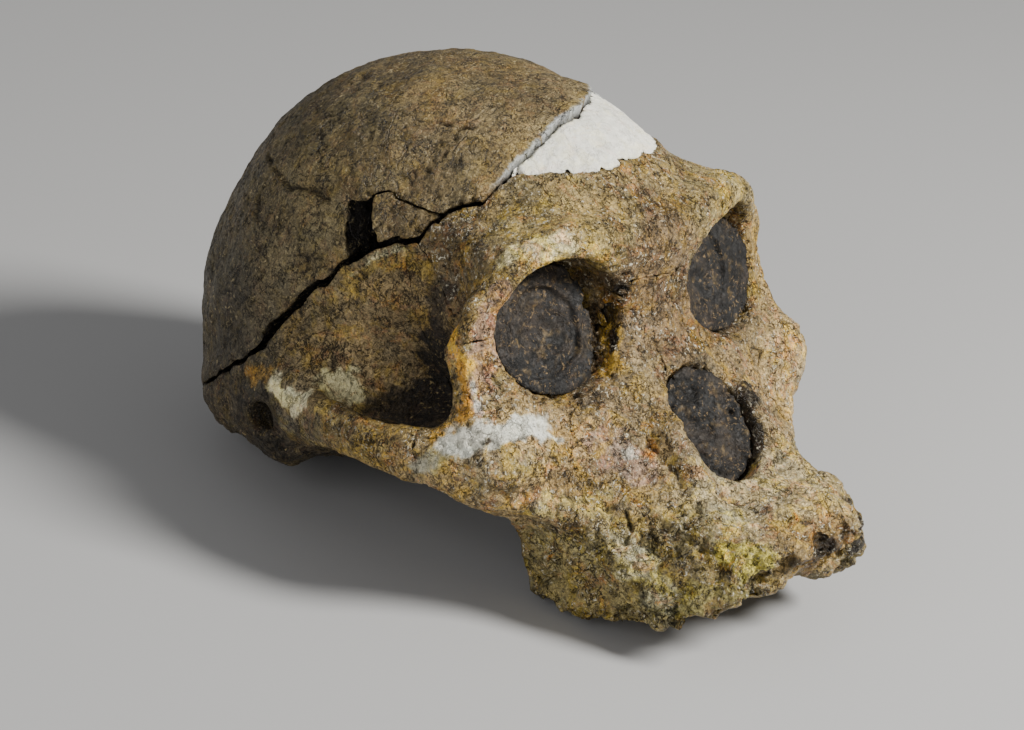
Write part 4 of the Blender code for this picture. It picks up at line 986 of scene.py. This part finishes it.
def surface(slot):
    """Material of a finish: the painted tint, times mottling and grain, with patches of other
    hues, pale specks (painted glints on bone, grit on rock), dark hairlines, painted shade in
    pores and creases, a bump of the same patterns and a roughness that varies with the grain.
    The tint's alpha tells how much of them shows."""
    finish = FINISHES[slot]
    contrast = finish.contrast
    material = bpy.data.materials.new(finish.name)
    material.use_nodes = True
    material.node_tree.nodes.clear()
    add = functools.partial(node, material.node_tree)
    metres = add("TexCoord", out="Object")
    tint, worn = (add("Attribute", out=out, attribute_name="Tint") for out in ("Color", "Alpha"))
    place = add("VectorMath", (metres, (1/MM,)*3), operation="MULTIPLY")
    shift = add("TexNoise", {"Vector": place, "Scale": 1/BEND_SIZE, "Detail": 4}, out=1)
    bent = add("VectorMath", (shift, (BEND,)*3, place), operation="MULTIPLY_ADD")
    long = add("VectorMath", (bent, STRETCH), operation="MULTIPLY")
    coordinates = {"place": place, "bent": bent, "long": long}
    noise = {name: add("TexNoise", {"Vector": coordinates[on], "Scale": 1/size, "Detail": detail,
                                    "Roughness": rough, "Distortion": bend})
             for name, (on, size, detail, rough, bend) in NOISES.items()}
    mask = {name: add("MapRange", (noise[name], low, high, 0, 1)) for name, (low, high) in MASKS.items()}

    value = None
    for name, low, high, less, more in (("mottle", 0.36, 0.64, 0.3*finish.mottle, 0.3*finish.mottle),
                                        ("fine", 0.38, 0.62, 0.34*contrast, 0.4*contrast),
                                        ("dust", 0.38, 0.62, 0.22*contrast, 0.22*contrast)):
        band = add("MapRange", (noise[name], low, high, 1 - less, 1 + more))
        value = add("Math", (value, band), operation="MULTIPLY") if value else band
    value = add("Math", (value, 1), operation="SUBTRACT")
    value = add("Math", (value, worn, 1), operation="MULTIPLY_ADD")
    colour = add("VectorMath", {0: tint, "Scale": value}, operation="SCALE")
    for name, (low, high, shade) in HUES.items():
        shaded = add("VectorMath", (colour, shade), operation="MULTIPLY")
        patch = add("MapRange", (noise[name], low, high, 0, finish.hues))
        patch = add("Math", (patch, worn), operation="MULTIPLY")
        colour = add("Mix", {0: patch, 6: colour, 7: shaded}, out=2, data_type="RGBA")

    edges = add("TexVoronoi", {"Vector": bent, "Scale": 1/finish.crackle}, out="Distance",
                feature="DISTANCE_TO_EDGE")
    hairline = add("MapRange", (edges, 0, 0.04, 1, 0))
    hairline = add("Math", (hairline, mask["cracked"]), operation="MULTIPLY")
    folds = 0
    for name, wide, shown, share in CREASES:
        off = add("Math", (noise[name], 0.5), operation="SUBTRACT")
        off = add("Math", (off,), operation="ABSOLUTE")
        line = add("MapRange", (off, wide*0.25, wide, 1, 0))
        line = add("Math", (line, mask[shown]), operation="MULTIPLY")
        folds = add("Math", (line, share, folds), operation="MULTIPLY_ADD")
    pores = mask["pores"]
    # painted glints on the bone and pale grit on the rock: specks mixed toward the finish's pale colour
    glints_and_grit = add("Math", (mask["glints_and_grit"], mask["glints_and_grit_shown"]), operation="MULTIPLY")
    pale = add("Math", (glints_and_grit, worn), operation="MULTIPLY")
    pale = add("Math", (pale, 0.8*contrast), operation="MULTIPLY")
    colour = add("Mix", {0: pale, 6: colour, 7: rgba(finish.pale)}, out=2, data_type="RGBA")
    # dark hairlines, with painted shade in the creases and pores
    dark = 0
    for pattern, share in ((hairline, finish.crack), (folds, finish.folds), (pores, 0.6*contrast)):
        dark = add("Math", (pattern, share, dark), operation="MULTIPLY_ADD")
    dark = add("MapRange", (dark, 0, 0.9, 0, 0.9))
    shown = add("MapRange", (worn, 0, 1, 0.25, 1))
    dark = add("Math", (dark, shown), operation="MULTIPLY")
    colour = add("Mix", {0: dark, 6: colour, 7: rgba(finish.dark)}, out=2, data_type="RGBA")

    height = 0
    for pattern, share in ((noise["mottle"], 0.6), (noise["fine"], 0.6), (noise["dust"], 0.16),
                           (hairline, -0.5), (folds, -0.4), (pores, -0.4), (glints_and_grit, 0.2)):
        height = add("Math", (pattern, share, height), operation="MULTIPLY_ADD")
    bump = add("Bump", {"Height": height, "Strength": 1, "Distance": finish.relief*2*MM})
    rough = add("MapRange", (noise["fine"], 0.35, 0.65, finish.rough_high, finish.rough_low))
    shader = add("BsdfPrincipled", {"Base Color": colour, "Roughness": rough, "IOR": 1.5, "Normal": bump})
    add("OutputMaterial", {"Surface": shader}, out=None)
    return material


class SkullSizes(bpy.types.PropertyGroup):
    """Sizes in millimetres that the pieces are made to."""
    relief: bpy.props.FloatProperty(name="Relief", description="Share of the weathering relief",
                                    subtype="FACTOR", default=1, min=0, max=2)
    gap: bpy.props.FloatProperty(name="Gap", description="Room between rock and bone, mm",
                                 default=0.45, min=0.3, max=3)


class StageSizes(bpy.types.PropertyGroup):
    """Sizes in metres and colours of what stands round the skull."""
    floor: bpy.props.FloatProperty(name="Floor", description="Side of the floor", unit="LENGTH",
                                   default=6, min=1)
    pale: bpy.props.FloatVectorProperty(name="Floor colour", description="Colour of the paper",
                                        subtype="COLOR", size=3, default=tuple(linear("#b9b9b9")))


PIECES = {
    "vault": [("vault_cap", "vault_bone"), ("parietal_fragment", "vault_bone")],
    "plaster": [("frontal_plaster", "plaster")],
    "face": [("frontal", "face_bone"), ("nasal_bones", "face_bone"), ("maxilla", "face_bone"),
             ("zygomatic_left", "face_bone"), ("zygomatic_right", "face_bone"),
             ("arch_left", "face_bone"), ("arch_right", "face_bone")],
    "base": [("temporal_left", "base_bone"), ("temporal_right", "base_bone"),
             ("sphenoid", "base_bone"), ("occipital", "base_bone")],
}
# Hollow, place of the face, its tilt, strength of its rings, how far it fills the inner side, seed
ROCKS = {"orbit_rock_right": (ORBIT_RIGHT, ORBIT_FRONT, -0.06, 1.0, 10.5, 3.0),
         "orbit_rock_left": (ORBIT_LEFT, ORBIT_FRONT, -0.1, 0.8, 40.0, 11.0),
         "nose_rock": (NOSE, NOSE_FRONT, -0.24, 0.0, 40.0, 23.0)}


def finished(slot):
    """Material of a slot, made once."""
    name = FINISHES[slot].name
    return bpy.data.materials.get(name) or surface(slot)


def make_group(context, group):
    """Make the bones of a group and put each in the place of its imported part."""
    relief = context.scene.skull_sizes.relief
    for cell in {CELLS.get(name, CELL) for name, _ in PIECES[group]}:
        sampled(cell)
    with ThreadPoolExecutor() as pool:
        made = list(pool.map(lambda piece: bone_piece(piece[0], relief), PIECES[group]))
    for (name, slot), (vertices, quads, colours) in zip(PIECES[group], made):
        if slot == "plaster":
            shade = 1 + 0.06*STAIN.rough(vertices/MM, 12, 3)[:, None]
            colours = np.append(linear(PLASTER), 1)*shade
        thing = new_object(context, name + "_bone", vertices, quads, finished(slot), colours)
        declared(thing, name)


def declared(thing, name):
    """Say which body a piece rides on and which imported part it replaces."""
    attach(thing, BODY)
    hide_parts(name)


class SKULL_OT_vault(bpy.types.Operator):
    """Make the vault's cap and the loose fragment of it"""
    bl_idname = "skull.vault"
    bl_label = "Vault"

    def execute(self, context):
        make_group(context, "vault")
        return {"FINISHED"}


class SKULL_OT_plaster(bpy.types.Operator):
    """Make the plaster that fills the forehead's middle"""
    bl_idname = "skull.plaster"
    bl_label = "Plaster"

    def execute(self, context):
        make_group(context, "plaster")
        return {"FINISHED"}


class SKULL_OT_face(bpy.types.Operator):
    """Make the bones of the face and the cheek arches"""
    bl_idname = "skull.face"
    bl_label = "Face"

    def execute(self, context):
        make_group(context, "face")
        return {"FINISHED"}


class SKULL_OT_base(bpy.types.Operator):
    """Make the bones of the sides, floor and back"""
    bl_idname = "skull.base"
    bl_label = "Base"

    def execute(self, context):
        make_group(context, "base")
        return {"FINISHED"}


class SKULL_OT_rock(bpy.types.Operator):
    """Make the rock left in the orbits and in the nose"""
    bl_idname = "skull.rock"
    bl_label = "Rock"

    def execute(self, context):
        gap = context.scene.skull_sizes.gap
        for name, (mass, front, tilt, rings, open_side, seed) in ROCKS.items():
            vertices, quads = rock_piece(mass, front, tilt, rings, open_side, gap, seed)
            colours = rock_colours(vertices, mass, rings, seed)
            thing = new_object(context, name + "_fill", lay_down(vertices), quads, finished("rock"),
                               colours)
            declared(thing, name)
        return {"FINISHED"}


VIEW = np.array([[0.724, 0.674, -0.145], [-0.012, 0.223, 0.975], [0.689, -0.704, 0.169]])
VIEW_SHIFT = np.array([-17.16, 0.197, -999.4])
FOCAL = 4000                             # pixels
Lamp = namedtuple("Lamp", "name place size power colour")
LAMPS = [Lamp("key", (0.72, 0.28, 0.72), 0.3, 18.5, (1, 0.98, 0.94)),      # m, m and W
         Lamp("fill", (0.2, -1.1, 0.45), 0.9, 4.0, (0.98, 0.98, 1))]
AIMED = (0, 0, 0.05)
SKY = 0.22                               # strength of the even light from all round


def add_light(context, name, place, size, power, colour):
    """Round area lamp that points at the skull."""
    data = bpy.data.lights.new(name, "AREA")
    data.shape, data.size, data.energy, data.color = "DISK", size, power, colour
    lamp = bpy.data.objects.new(name, data)
    lamp.location = place
    lamp.rotation_euler = (Vector(AIMED) - lamp.location).to_track_quat("-Z", "Y").to_euler()
    context.collection.objects.link(lamp)


class SKULL_OT_stage(bpy.types.Operator):
    """Make the floor, the light and the camera"""
    bl_idname = "skull.stage"
    bl_label = "Stage"

    def execute(self, context):
        sizes = context.scene.skull_stage
        half = sizes.floor/2
        corners = np.array([[-half, -half, 0], [half, -half, 0], [half, half, 0], [-half, half, 0]])
        material = bpy.data.materials.new("Paper backdrop, matte")
        material.use_nodes = True
        shader = material.node_tree.nodes["Principled BSDF"]
        shader.inputs["Base Color"].default_value = (*sizes.pale, 1)
        shader.inputs["Roughness"].default_value = 0.9
        floor = new_object(context, "floor", corners, np.array([[0, 1, 2, 3]]), material)
        world = context.scene.world or bpy.data.worlds.new("Studio")
        context.scene.world = world
        world.use_nodes = True
        sky = world.node_tree.nodes["Background"]
        sky.inputs["Color"].default_value = (1, 1, 1, 1)
        sky.inputs["Strength"].default_value = SKY
        for lamp in LAMPS:
            add_light(context, *lamp)
        add_camera(context)
        return {"FINISHED"}


def add_camera(context):
    """Camera found by matching the skull's points to the photo's, in the skull's own frame."""
    left, _, right = np.linalg.svd(VIEW)
    rows = left @ right
    place = (-rows.T @ VIEW_SHIFT) @ TURNED.T + SHIFTED
    turn = TURNED @ rows.T
    data = bpy.data.cameras.new("camera")
    data.sensor_width = 36
    data.lens = 36*FOCAL/IMAGE[0]
    data.clip_start = 0.05
    camera = bpy.data.objects.new("camera", data)
    camera.matrix_world = Matrix.Translation(place*MM) @ Matrix(turn.tolist()).to_4x4()
    context.collection.objects.link(camera)
    context.scene.camera = camera


class SKULL_PT_panel(bpy.types.Panel):
    """Buttons that make the pieces, and their sizes"""
    bl_label = "Skull"
    bl_space_type = "VIEW_3D"
    bl_region_type = "UI"
    bl_category = "Skull"

    def draw(self, context):
        for kind in OPERATORS:
            self.layout.operator(kind.bl_idname)
        for group in (context.scene.skull_sizes, context.scene.skull_stage):
            for name in group.__annotations__:
                self.layout.prop(group, name)


OPERATORS = (SKULL_OT_vault, SKULL_OT_plaster, SKULL_OT_face, SKULL_OT_base, SKULL_OT_rock,
             SKULL_OT_stage)
CLASSES = (SkullSizes, StageSizes, *OPERATORS, SKULL_PT_panel)


def register():
    for kind in CLASSES:
        bpy.utils.register_class(kind)
    bpy.types.Scene.skull_sizes = bpy.props.PointerProperty(type=SkullSizes)
    bpy.types.Scene.skull_stage = bpy.props.PointerProperty(type=StageSizes)


def unregister():
    del bpy.types.Scene.skull_sizes, bpy.types.Scene.skull_stage
    for kind in reversed(CLASSES):
        bpy.utils.unregister_class(kind)


def main():
    """Make every piece and the stage."""
    register()
    for kind in OPERATORS:
        getattr(bpy.ops.skull, kind.bl_idname.split(".")[1])()


if __name__ == "__main__":
    main()
